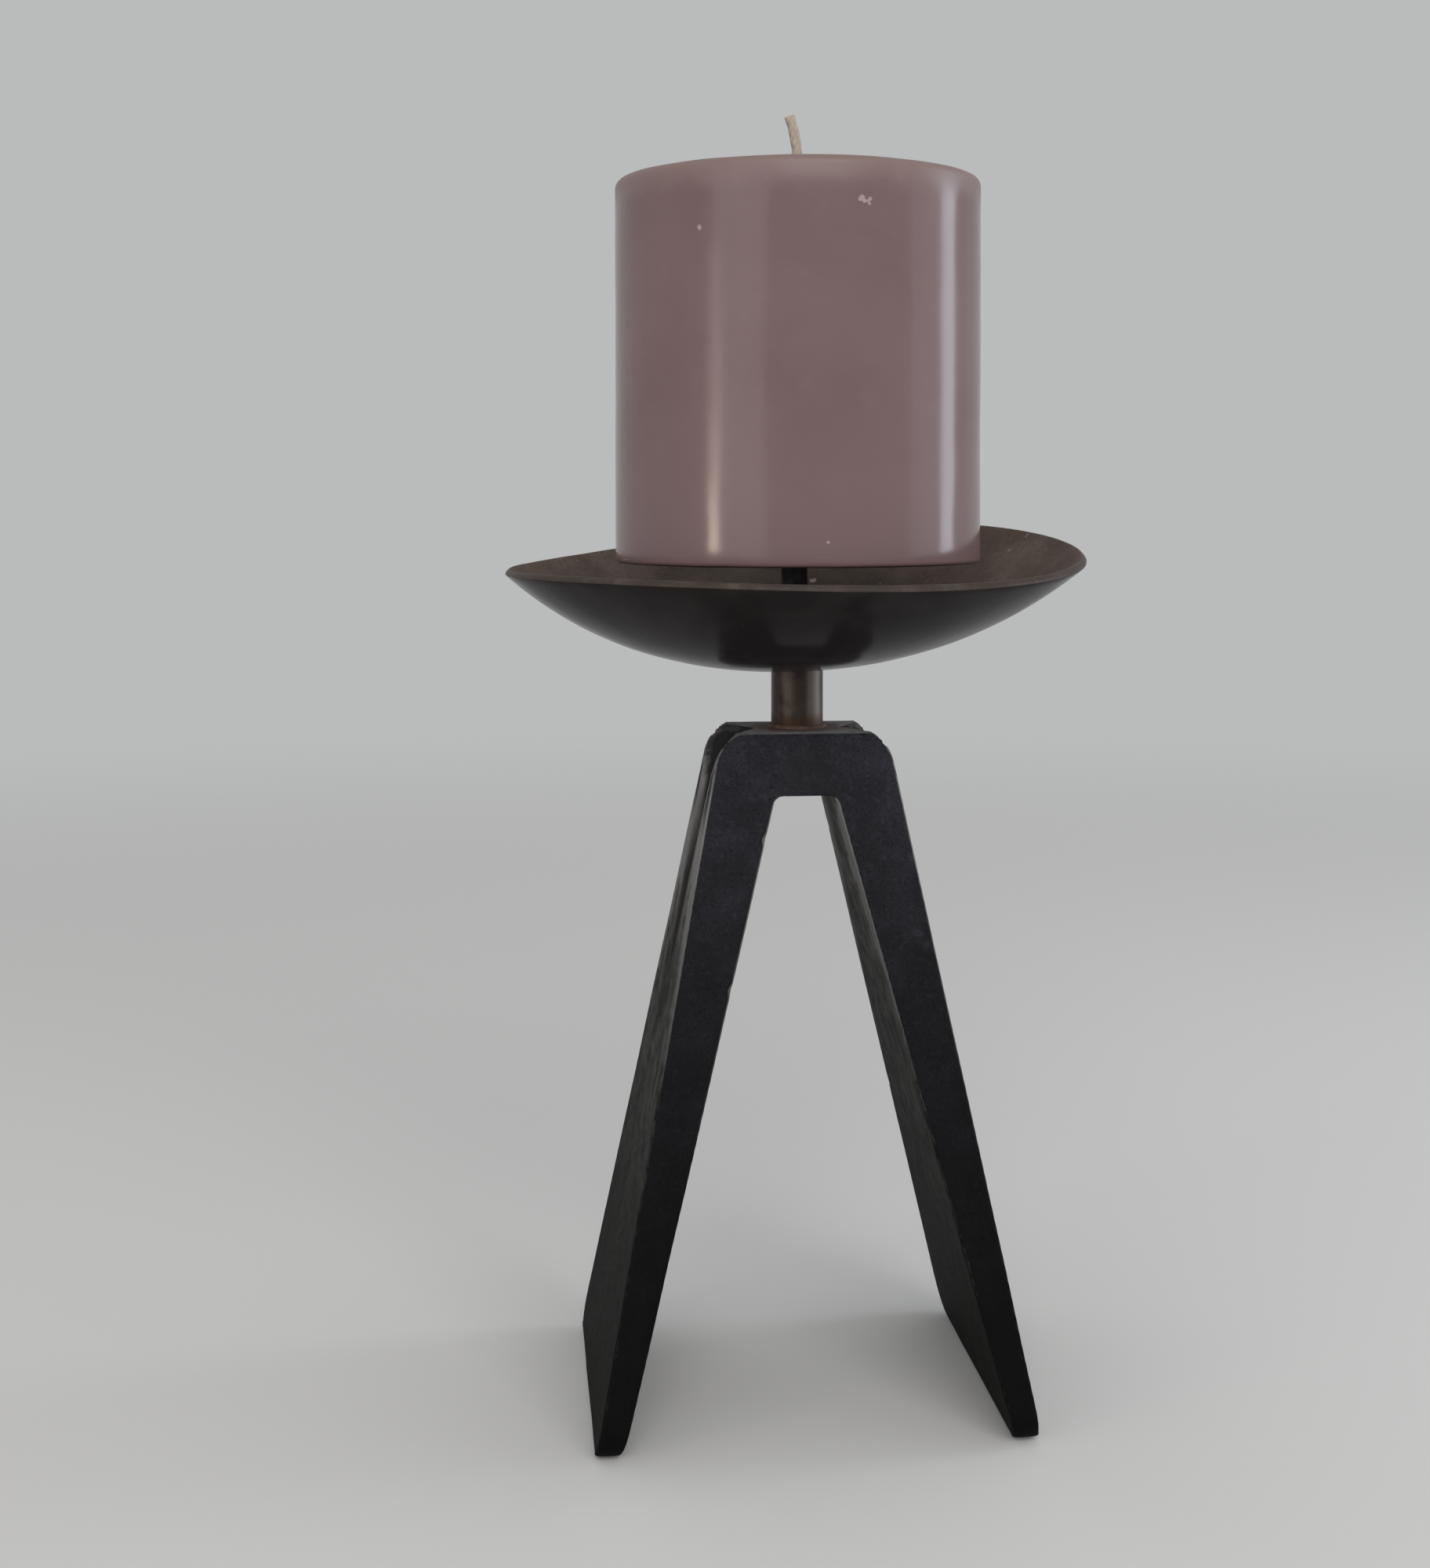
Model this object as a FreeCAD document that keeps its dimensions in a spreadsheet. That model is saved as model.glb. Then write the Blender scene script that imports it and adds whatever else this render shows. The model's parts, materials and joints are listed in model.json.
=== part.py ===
"""Forged iron pricket candle holder with a drip dish and a pillar candle, in millimetres.

The frame: +Z is up, the feet stand on Z = 0, the legs stand to the left (-X) and right (+X), the front
faces -Y, and the stem stands on the Z axis.
"""
import FreeCAD, Part
import math
import os
import Sketcher

# Driving dimensions: name, value in millimetres or degrees, meaning
SIZES = [
    ("frame_height", 128.0, "floor to the top of the bridge"),
    ("top_half_width", 12.7, "axis to the end of the bridge's flat top"),
    ("corner_half_width", 15.9, "axis to the leg's outer face, carried up to the bridge's top"),
    ("top_depth", 21.0, "front to back of the bridge's flat top"),
    ("shoulder_radius", 8.6, "rounding of the outer shoulder, seen from the front"),
    ("bridge_height", 11.8, "bridge top down to the top of the gap between the legs"),
    ("gap_half_width", 5.7, "axis to the inner corner at the top of the gap"),
    ("gap_corner_radius", 1.8, "rounding of that inner corner"),
    ("foot_outer_half", 40.8, "axis to the outer edge of a foot"),
    ("foot_thickness", 4.9, "left to right across the foot of one leg"),
    ("foot_depth", 68.0, "front to back of the foot of one leg, before its corners are rounded"),
    ("foot_corner_radius", 6.0, "rounding of the foot's front and back corners, seen from the side"),
    ("foot_edge_radius", 1.2, "rounding of the foot's outer and inner edges"),
    ("seam_width", 1.2, "welded seam between the two legs"),
    ("cleft_reach", 8.0, "axis to the point of the cleft in the bridge's top"),
    ("cleft_top_width", 18.0, "mouth of the cleft at the end of the flat top"),
    ("cleft_knee_drop", 8.0, "bridge top down to where the cleft narrows"),
    ("cleft_knee_depth", 5.4, "depth of the cleft there, from the leg's outer face"),
    ("cleft_knee_width", 14.0, "mouth of the cleft there"),
    ("cleft_end_drop", 50.0, "bridge top down to where the cleft runs out"),
    ("stem_diameter", 10.0, "round bar of the stem"),
    ("stem_length", 12.0, "bridge top to the dish, on the axis"),
    ("weld_leg", 0.9, "height and width of the weld ring round the stem"),
    ("head_lean", 4.5, "angle that dish, nut and spike lean from upright"),
    ("head_bearing", 30.0, "which way they lean, from the front towards the left"),
    ("rim_radius", 55.5, "outer radius of the dish's rim"),
    ("dish_depth", 20.3, "underside of the dish up to its rim"),
    ("dish_sheet", 1.5, "thickness of the dish's sheet"),
    ("seat_radius", 6.0, "flat under the dish, where it sits on the stem"),
    ("spike_diameter", 5.0, "round bar of the spike"),
    ("spike_length", 44.0, "underside of the dish to the spike's tip"),
    ("spike_point", 11.0, "length of the spike's taper"),
    ("spike_tip_diameter", 0.8, "blunt end of the spike"),
    ("spike_tail", 8.0, "thread that goes down into the stem"),
    ("thread_gap", 0.05, "radial clearance round the spike in stem, dish and nut"),
    ("thread_run_out", 1.0, "bore left empty under the spike's tail"),
    ("nut_across_flats", 8.0, "hexagon of the nut"),
    ("nut_height", 4.0, "height of the nut"),
    ("nut_corner_angle", 30.0, "slope of the turned corners on top of the nut"),
    ("candle_diameter", 70.0, "pillar candle"),
    ("candle_height", 73.0, "pillar candle"),
    ("candle_lift", 19.8, "underside of the dish on the axis up to the candle's base"),
    ("candle_top_round", 1.6, "rounding of the candle's top edge"),
    ("candle_base_round", 0.9, "rounding of the candle's bottom edge"),
    ("spike_hole_gap", 0.08, "radial clearance of the spike in the wax"),
    ("spike_tip_gap", 0.3, "wax left clear over the spike's tip"),
    ("wick_diameter", 2.0, "cotton wick"),
    ("wick_straight", 3.0, "straight stretch of the wick above the wax"),
    ("wick_bend_radius", 30.0, "bend of the free end of the wick"),
    ("wick_bend_angle", 19.0, "angle that the free end of the wick turns through"),
    ("wick_buried", 34.0, "wick inside the wax"),
]

MARGIN = 10.0  # how far cutting shapes run past what they cut

doc = FreeCAD.newDocument("CandleHolder")
sheet = doc.addObject("Spreadsheet::Sheet", "Sizes")
for row, (alias, value, meaning) in enumerate(SIZES, start=1):
    sheet.set(f"A{row}", meaning)
    sheet.set(f"B{row}", str(value))
    sheet.setAlias(f"B{row}", alias)
doc.recompute()

# Places that several pieces share, as expressions on the sheet
SEAT_HEIGHT = "(Sizes.frame_height + Sizes.stem_length)"
CANDLE_BASE = f"({SEAT_HEIGHT} + Sizes.candle_lift)"
GAP_TOP = "(Sizes.frame_height - Sizes.bridge_height)"
FOOT_INNER = "(Sizes.foot_outer_half - Sizes.foot_thickness)"
BORE_RADIUS = "(Sizes.spike_diameter / 2 + Sizes.thread_gap)"
HEAD_PLACEMENT = (
    f"placement(vector(0; 0; {SEAT_HEIGHT});"
    " rotation(vector(cos(Sizes.head_bearing * 1deg); -sin(Sizes.head_bearing * 1deg); 0);"
    " Sizes.head_lean * 1deg))"
)


def size(alias):
    """Value of one driving dimension, for the first guess of a sketch."""
    return float(sheet.get(alias))


def new_body(label, placement=None):
    body = doc.addObject("PartDesign::Body", label)
    body.Label = label
    if placement:
        body.setExpression("Placement", placement)
    return body


def new_sketch(body, name, role, height=None):
    """Sketch on one of the body's own origin planes, or at a height above it given as an expression."""
    sketch = body.newObject("Sketcher::SketchObject", name)
    plane = next(f for f in body.Origin.OriginFeatures if f.Role == role)
    sketch.AttachmentSupport = (plane, [""])
    sketch.MapMode = "FlatFace"
    if height:
        sketch.setExpression("AttachmentOffset.Base.z", height)
    return sketch


def line(sketch, start, end, construction=False):
    segment = Part.LineSegment(FreeCAD.Vector(*start, 0), FreeCAD.Vector(*end, 0))
    return sketch.addGeometry(segment, construction)


def arc(sketch, centre, start, end):
    """Arc drawn anticlockwise about the centre, from the start point to the direction of the end point."""
    radius = math.dist(centre, start)
    circle = Part.Circle(FreeCAD.Vector(*centre, 0), FreeCAD.Vector(0, 0, 1), radius)
    angles = [math.atan2(p[1] - centre[1], p[0] - centre[0]) for p in (start, end)]
    return sketch.addGeometry(Part.ArcOfCircle(circle, *angles), False)


def join(sketch, *pairs):
    """Make end points coincide: each pair is (geometry, end, geometry, end)."""
    for pair in pairs:
        sketch.addConstraint(Sketcher.Constraint("Coincident", *pair))


def drive(sketch, name, constraint, expression):
    """Add a dimension to a sketch and tie it to an expression."""
    sketch.renameConstraint(sketch.addConstraint(constraint), name)
    sketch.setExpression(f"Constraints.{name}", expression)


def locate(sketch, name, geometry, end, x=None, y=None):
    """Tie one end of a line or arc to distances from the sketch's origin.

    "0" puts the end on the axis, and a leading minus sign measures to the other side.
    """
    point = sketch.getPoint(geometry, end)
    for axis, kind, expression, now in ((-2, "DistanceX", x, point.x), (-1, "DistanceY", y, point.y)):
        if expression is None:
            continue
        if expression == "0":
            sketch.addConstraint(Sketcher.Constraint("PointOnObject", geometry, end, axis))
        elif expression.startswith("-"):
            back = Sketcher.Constraint(kind, geometry, end, -1, 1, -now)
            drive(sketch, name + kind[-1], back, expression[1:])
        else:
            drive(sketch, name + kind[-1], Sketcher.Constraint(kind, -1, 1, geometry, end, now), expression)


def polygon(sketch, name, corners):
    """Closed polygon: each corner has an x and a y expression, and a first guess of its place."""
    guesses = [guess for _, _, guess in corners]
    lines = [line(sketch, a, b) for a, b in zip(guesses, guesses[1:] + guesses[:1])]
    join(sketch, *[(a, 2, b, 1) for a, b in zip(lines, lines[1:] + lines[:1])])
    for number, (x, y, _) in enumerate(corners):
        locate(sketch, f"{name}{number}", lines[number], 1, x, y)


def pad(body, sketch, length, both_sides=False):
    feature = body.newObject("PartDesign::Pad", sketch.Name + "Pad")
    feature.Profile = sketch
    feature.SideType = "Symmetric" if both_sides else "One side"
    feature.setExpression("Length", length)
    return feature


def revolve(body, sketch, kind="PartDesign::Revolution"):
    """Turn a sketch a full circle about its own upright axis."""
    feature = body.newObject(kind, sketch.Name + "Turned")
    feature.Profile = sketch
    feature.ReferenceAxis = (sketch, ["V_Axis"])
    feature.Angle = 360.0
    return feature


def fillet(body, base, name, radius, test):
    """Round the edges of a feature whose end points all pass the test."""
    doc.recompute()
    names = [
        f"Edge{number}"
        for number, edge in enumerate(base.Shape.Edges, start=1)
        if all(test(vertex.Point) for vertex in edge.Vertexes)
    ]
    feature = body.newObject("PartDesign::Fillet", name)
    feature.Base = (base, names)
    feature.setExpression("Radius", radius)
    return feature


def cut(label, base, tool):
    feature = doc.addObject("Part::Cut", label)
    feature.Label = label
    feature.Base = base
    feature.Tool = tool
    return feature


def same(a, b):
    return abs(a - b) < 1e-4


def leg_outline(body):
    """Front view of the right leg: half the bridge, the shoulder, the blade and the gap's inner corner."""
    top = size("frame_height")
    gap_top = top - size("bridge_height")
    seam = size("seam_width") / 2
    flat_end = (size("top_half_width"), top)
    outer_corner = (size("corner_half_width"), top)
    foot_outer = (size("foot_outer_half"), 0.0)
    foot_inner = (foot_outer[0] - size("foot_thickness"), 0.0)
    gap_corner = (size("gap_half_width"), gap_top)

    # First guess of the shoulder: an arc on the face's normal, as far down as its radius allows
    radius = size("shoulder_radius")
    slope = math.atan2(foot_outer[0] - outer_corner[0], top)
    drop = 0.7 * radius
    low = (outer_corner[0] + drop * math.tan(slope), top - drop)
    centre = (low[0] - radius * math.cos(slope), low[1] - radius * math.sin(slope))

    sketch = new_sketch(body, "LegOutline", "XZ_Plane")
    top_edge = line(sketch, (seam, top), flat_end)
    shoulder = arc(sketch, centre, low, flat_end)
    outer_edge = line(sketch, low, foot_outer)
    foot_edge = line(sketch, foot_outer, foot_inner)
    inner_edge = line(sketch, foot_inner, gap_corner)
    gap_edge = line(sketch, gap_corner, (seam, gap_top))
    seam_edge = line(sketch, (seam, gap_top), (seam, top))
    outer_line = line(sketch, outer_corner, foot_outer, construction=True)

    join(
        sketch,
        (top_edge, 2, shoulder, 2),
        (outer_edge, 2, foot_edge, 1),
        (foot_edge, 2, inner_edge, 1),
        (inner_edge, 2, gap_edge, 1),
        (gap_edge, 2, seam_edge, 1),
        (seam_edge, 2, top_edge, 1),
        (outer_edge, 2, outer_line, 2),
    )
    sketch.addConstraint(Sketcher.Constraint("PointOnObject", outer_edge, 1, outer_line))
    sketch.addConstraint(Sketcher.Constraint("Tangent", shoulder, 1, outer_edge, 1))
    drive(sketch, "ShoulderRadius", Sketcher.Constraint("Radius", shoulder, radius), "Sizes.shoulder_radius")
    locate(sketch, "SeamTop", top_edge, 1, "Sizes.seam_width / 2", "Sizes.frame_height")
    locate(sketch, "FlatEnd", top_edge, 2, "Sizes.top_half_width", "Sizes.frame_height")
    locate(sketch, "OuterCorner", outer_line, 1, "Sizes.corner_half_width", "Sizes.frame_height")
    locate(sketch, "FootOuter", outer_edge, 2, "Sizes.foot_outer_half", "0")
    locate(sketch, "FootInner", foot_edge, 2, FOOT_INNER, "0")
    locate(sketch, "GapCorner", inner_edge, 2, "Sizes.gap_half_width", GAP_TOP)
    locate(sketch, "SeamLow", gap_edge, 2, "Sizes.seam_width / 2", GAP_TOP)
    return sketch


def lean_cuts(body):
    """Side view of what lies in front of and behind the leaning faces and the foot's rounded corners."""
    top = size("frame_height")
    half_top = size("top_depth") / 2
    half_foot = size("foot_depth") / 2
    radius = size("foot_corner_radius")
    outside = half_foot + MARGIN
    outside_y = f"(Sizes.foot_depth / 2 + {MARGIN})"
    below = f"-{MARGIN}"

    # First guess of the rounding: it touches the leaning face and the floor
    slope = math.atan2(half_foot - half_top, top)
    centre = half_foot - radius * (math.tan(slope) + 1 / math.cos(slope))
    touch = (centre + radius * math.cos(slope), radius + radius * math.sin(slope))

    sketch = new_sketch(body, "LeanCuts", "YZ_Plane")
    for name, side, sign in (("Back", "", 1), ("Front", "-", -1)):
        high_point = (sign * half_top, top)
        face_point = (sign * touch[0], touch[1])
        floor_point = (sign * centre, 0.0)
        far_low = (sign * outside, -MARGIN)
        face = line(sketch, high_point, face_point)
        ends = (floor_point, face_point) if sign > 0 else (face_point, floor_point)
        corner = arc(sketch, (sign * centre, radius), *ends)
        face_end, floor_end = (2, 1) if sign > 0 else (1, 2)
        down = line(sketch, floor_point, (floor_point[0], -MARGIN))
        out = line(sketch, (floor_point[0], -MARGIN), far_low)
        up = line(sketch, far_low, (sign * outside, top))
        back = line(sketch, (sign * outside, top), high_point)
        lean = line(sketch, high_point, (sign * half_foot, 0.0), construction=True)
        join(
            sketch,
            (corner, floor_end, down, 1),
            (down, 2, out, 1),
            (out, 2, up, 1),
            (up, 2, back, 1),
            (back, 2, face, 1),
            (lean, 1, face, 1),
        )
        sketch.addConstraint(Sketcher.Constraint("PointOnObject", face, 2, lean))
        sketch.addConstraint(Sketcher.Constraint("Tangent", corner, face_end, face, 2))
        sketch.addConstraint(Sketcher.Constraint("Vertical", corner, 3, down, 1))
        sketch.addConstraint(Sketcher.Constraint("PointOnObject", down, 1, -1))
        sketch.addConstraint(Sketcher.Constraint("Vertical", down))
        rounding = Sketcher.Constraint("Radius", corner, radius)
        drive(sketch, name + "Round", rounding, "Sizes.foot_corner_radius")
        locate(sketch, name + "High", face, 1, side + "Sizes.top_depth / 2", "Sizes.frame_height")
        locate(sketch, name + "Foot", lean, 2, side + "Sizes.foot_depth / 2", "0")
        locate(sketch, name + "Low", up, 1, side + outside_y, below)
        locate(sketch, name + "Under", down, 2, None, below)
        locate(sketch, name + "Far", up, 2, side + outside_y, "Sizes.frame_height")
    return sketch


def cleft_section(body, name, drop, point_x, mouth_x, mouth_width):
    """One level of the V-shaped cleft, seen from above; the V is carried on past its mouth.

    drop, point_x, mouth_x and mouth_width are each an expression and its value.
    """
    far_x = f"({mouth_x[0]} + {MARGIN})"
    far_half = f"({mouth_width[0]} / 2 * ({far_x} - {point_x[0]}) / ({mouth_x[0]} - {point_x[0]}))"
    far = mouth_x[1] + MARGIN
    half = mouth_width[1] / 2 * (far - point_x[1]) / (mouth_x[1] - point_x[1])
    sketch = new_sketch(body, name, "XY_Plane", f"Sizes.frame_height - {drop}")
    polygon(sketch, "V", [
        (point_x[0], "0", (point_x[1], 0.0)),
        (far_x, far_half, (far, half)),
        (far_x, "-" + far_half, (far, -half)),
    ])
    return sketch


def outer_face(drop):
    """The leg's outer face at a drop below the bridge's top: its x as an expression and as a value."""
    spread = size("foot_outer_half") - size("corner_half_width")
    value = size("corner_half_width") + spread * size(drop) / size("frame_height")
    expression = (
        "(Sizes.corner_half_width + (Sizes.foot_outer_half - Sizes.corner_half_width)"
        f" * Sizes.{drop} / Sizes.frame_height)"
    )
    return expression, value


def right_leg():
    """Forged leg: a blade that thins and widens downwards, with a cleft in its rounded shoulder.

    Below its knee the cleft keeps its angle and gets shallower until it runs out.
    """
    body = new_body("right_leg")
    blank = pad(body, leg_outline(body), "Sizes.foot_depth", both_sides=True)
    gap_x = size("gap_half_width")
    gap_z = size("frame_height") - size("bridge_height")
    rounded = fillet(
        body, blank, "GapCorner", "Sizes.gap_corner_radius",
        lambda p: same(p.x, gap_x) and same(p.z, gap_z),
    )
    foot_outer = size("foot_outer_half")
    foot_inner = foot_outer - size("foot_thickness")
    for name, edge_x in (("FootOuterEdge", foot_outer), ("FootInnerEdge", foot_inner)):
        rounded = fillet(
            body, rounded, name, "Sizes.foot_edge_radius",
            lambda p, edge_x=edge_x: same(p.x, edge_x) and same(p.z, 0.0),
        )

    leaning = body.newObject("PartDesign::Pocket", "LeaningFaces")
    leaning.Profile = lean_cuts(body)
    leaning.SideType = "Symmetric"
    leaning.setExpression("Length", f"2 * (Sizes.foot_outer_half + {MARGIN})")

    knee_x, knee = outer_face("cleft_knee_drop")
    end_x, end = outer_face("cleft_end_drop")
    knee_depth = size("cleft_knee_depth")
    knee_width = size("cleft_knee_width")
    levels = [
        cleft_section(
            body, "CleftTop", "0",
            ("Sizes.cleft_reach", size("cleft_reach")),
            ("Sizes.top_half_width", size("top_half_width")),
            ("Sizes.cleft_top_width", size("cleft_top_width")),
        ),
        cleft_section(
            body, "CleftKnee", "Sizes.cleft_knee_drop",
            (f"({knee_x} - Sizes.cleft_knee_depth)", knee - knee_depth),
            (knee_x, knee),
            ("Sizes.cleft_knee_width", knee_width),
        ),
        cleft_section(
            body, "CleftEnd", "Sizes.cleft_end_drop",
            (end_x, end),
            (f"({end_x} + {MARGIN})", end + MARGIN),
            (
                f"(Sizes.cleft_knee_width * {MARGIN} / Sizes.cleft_knee_depth)",
                knee_width * MARGIN / knee_depth,
            ),
        ),
    ]
    cleft = body.newObject("PartDesign::SubtractiveLoft", "Cleft")
    cleft.Profile = levels[0]
    cleft.Sections = levels[1:]
    cleft.Ruled = True
    doc.recompute()
    for before, after in ((rounded, leaning), (leaning, cleft)):
        if after.Shape.Volume > before.Shape.Volume - 1.0:
            raise RuntimeError(f"{after.Name} cuts nothing")
    return body


def left_leg(other):
    """The other leg, mirrored across the seam."""
    leg = doc.addObject("Part::Mirroring", "left_leg")
    leg.Label = "left_leg"
    leg.Source = other
    leg.Normal = (1, 0, 0)
    return leg


def bridge_weld():
    """Seam between the two halves of the bridge, dressed flush with their faces."""
    body = new_body("bridge_weld")
    top = size("frame_height")
    low = top - size("bridge_height")
    half_top = size("top_depth") / 2
    half_low = half_top + (size("foot_depth") / 2 - half_top) * size("bridge_height") / top
    low_half = (
        "(Sizes.top_depth / 2 + (Sizes.foot_depth - Sizes.top_depth) / 2"
        " * Sizes.bridge_height / Sizes.frame_height)"
    )
    sketch = new_sketch(body, "SeamSection", "YZ_Plane")
    polygon(sketch, "Seam", [
        ("-Sizes.top_depth / 2", "Sizes.frame_height", (-half_top, top)),
        ("-" + low_half, GAP_TOP, (-half_low, low)),
        (low_half, GAP_TOP, (half_low, low)),
        ("Sizes.top_depth / 2", "Sizes.frame_height", (half_top, top)),
    ])
    pad(body, sketch, "Sizes.seam_width", both_sides=True)
    return body


def stem():
    """Round bar on the bridge; its top is cut square to the leaning spike, whose thread it takes."""
    bar = doc.addObject("Part::Cylinder", "StemBar")
    bar.setExpression("Radius", "Sizes.stem_diameter / 2")
    bar.setExpression("Height", "Sizes.stem_length + Sizes.stem_diameter")
    bar.setExpression("Placement.Base.z", "Sizes.frame_height")

    above = doc.addObject("Part::Cylinder", "StemAbove")
    above.setExpression("Radius", "Sizes.stem_diameter * 2")
    above.setExpression("Height", "Sizes.stem_diameter * 2")
    above.setExpression("Placement", HEAD_PLACEMENT)

    bore = new_body("StemBore", HEAD_PLACEMENT)
    depth = size("spike_tail") + size("thread_run_out")
    radius = size("spike_diameter") / 2 + size("thread_gap")
    sketch = new_sketch(bore, "StemBoreSection", "XZ_Plane")
    low = "-(Sizes.spike_tail + Sizes.thread_run_out)"
    high = f"{MARGIN}"
    polygon(sketch, "Bore", [
        ("0", low, (0.0, -depth)),
        (BORE_RADIUS, low, (radius, -depth)),
        (BORE_RADIUS, high, (radius, MARGIN)),
        ("0", high, (0.0, MARGIN)),
    ])
    revolve(bore, sketch)
    return cut("stem", cut("StemTrimmed", bar, above), bore)


def stem_weld():
    """Hollow weld fillet round the foot of the stem."""
    body = new_body("stem_weld")
    foot = size("frame_height")
    inner = size("stem_diameter") / 2
    leg = size("weld_leg")
    sketch = new_sketch(body, "WeldSection", "XZ_Plane")
    base = line(sketch, (inner, foot), (inner + leg, foot))
    face = arc(sketch, (inner + leg, foot + leg), (inner, foot + leg), (inner + leg, foot))
    wall = line(sketch, (inner, foot + leg), (inner, foot))
    join(sketch, (base, 2, face, 2), (face, 1, wall, 1), (wall, 2, base, 1))
    drive(sketch, "Hollow", Sketcher.Constraint("Radius", face, leg), "Sizes.weld_leg")
    locate(sketch, "Root", base, 1, "Sizes.stem_diameter / 2", "Sizes.frame_height")
    locate(sketch, "Toe", base, 2, "Sizes.stem_diameter / 2 + Sizes.weld_leg", "Sizes.frame_height")
    locate(sketch, "Crown", wall, 1, "Sizes.stem_diameter / 2", "Sizes.frame_height + Sizes.weld_leg")
    revolve(body, sketch)
    return body


def drip_dish():
    """Shallow dish of even sheet, part of a sphere, with a small flat and a hole at its middle."""
    body = new_body("drip_dish", HEAD_PLACEMENT)
    rim = (size("rim_radius"), size("dish_depth"))
    seat = size("seat_radius")
    sheet_gauge = size("dish_sheet")
    hole = size("spike_diameter") / 2 + size("thread_gap")
    centre = (0.0, (rim[0] ** 2 + rim[1] ** 2 - seat ** 2) / (2 * rim[1]))
    inner_radius = math.dist(centre, rim) - sheet_gauge
    share = inner_radius / (inner_radius + sheet_gauge)
    rim_inner = (rim[0] * share, centre[1] + (rim[1] - centre[1]) * share)
    floor_edge = (math.sqrt(inner_radius ** 2 - (centre[1] - sheet_gauge) ** 2), sheet_gauge)

    sketch = new_sketch(body, "DishSection", "XZ_Plane")
    under = line(sketch, (hole, 0.0), (seat, 0.0))
    outside = arc(sketch, centre, (seat, 0.0), rim)
    edge = line(sketch, rim, rim_inner)
    inside = arc(sketch, centre, floor_edge, rim_inner)
    floor = line(sketch, floor_edge, (hole, sheet_gauge))
    wall = line(sketch, (hole, sheet_gauge), (hole, 0.0))
    join(
        sketch,
        (under, 2, outside, 1),
        (outside, 2, edge, 1),
        (edge, 2, inside, 2),
        (inside, 1, floor, 1),
        (floor, 2, wall, 1),
        (wall, 2, under, 1),
        (outside, 3, inside, 3),
    )
    sketch.addConstraint(Sketcher.Constraint("PointOnObject", outside, 3, -2))
    sketch.addConstraint(Sketcher.Constraint("PointOnObject", outside, 3, edge))
    drive(sketch, "Gauge", Sketcher.Constraint("Distance", edge, sheet_gauge), "Sizes.dish_sheet")
    locate(sketch, "HoleLow", under, 1, BORE_RADIUS, "0")
    locate(sketch, "Seat", under, 2, "Sizes.seat_radius", "0")
    locate(sketch, "Rim", outside, 2, "Sizes.rim_radius", "Sizes.dish_depth")
    locate(sketch, "Floor", floor, 1, None, "Sizes.dish_sheet")
    locate(sketch, "HoleHigh", floor, 2, BORE_RADIUS, "Sizes.dish_sheet")
    revolve(body, sketch)
    return body


def spike_section(body, name, gap, tip_gap, low):
    """Half section of the spike, or of the hole it makes, grown by a radial gap and a gap over its tip.

    gap, tip_gap and low are each an expression and its value.
    """
    radius = size("spike_diameter") / 2 + gap[1]
    tip = size("spike_tip_diameter") / 2 + gap[1]
    end = size("spike_length") + tip_gap[1]
    shank = end - size("spike_point")
    radius_x = f"(Sizes.spike_diameter / 2 + {gap[0]})"
    tip_x = f"(Sizes.spike_tip_diameter / 2 + {gap[0]})"
    end_y = f"(Sizes.spike_length + {tip_gap[0]})"
    shank_y = f"({end_y} - Sizes.spike_point)"
    sketch = new_sketch(body, name, "XZ_Plane")
    polygon(sketch, "Spike", [
        ("0", low[0], (0.0, low[1])),
        (radius_x, low[0], (radius, low[1])),
        (radius_x, shank_y, (radius, shank)),
        (tip_x, end_y, (tip, end)),
        ("0", end_y, (0.0, end)),
    ])
    return sketch


def spike():
    body = new_body("spike", HEAD_PLACEMENT)
    tail = ("-Sizes.spike_tail", -size("spike_tail"))
    revolve(body, spike_section(body, "SpikeSection", ("0", 0.0), ("0", 0.0), tail))
    return body


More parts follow.
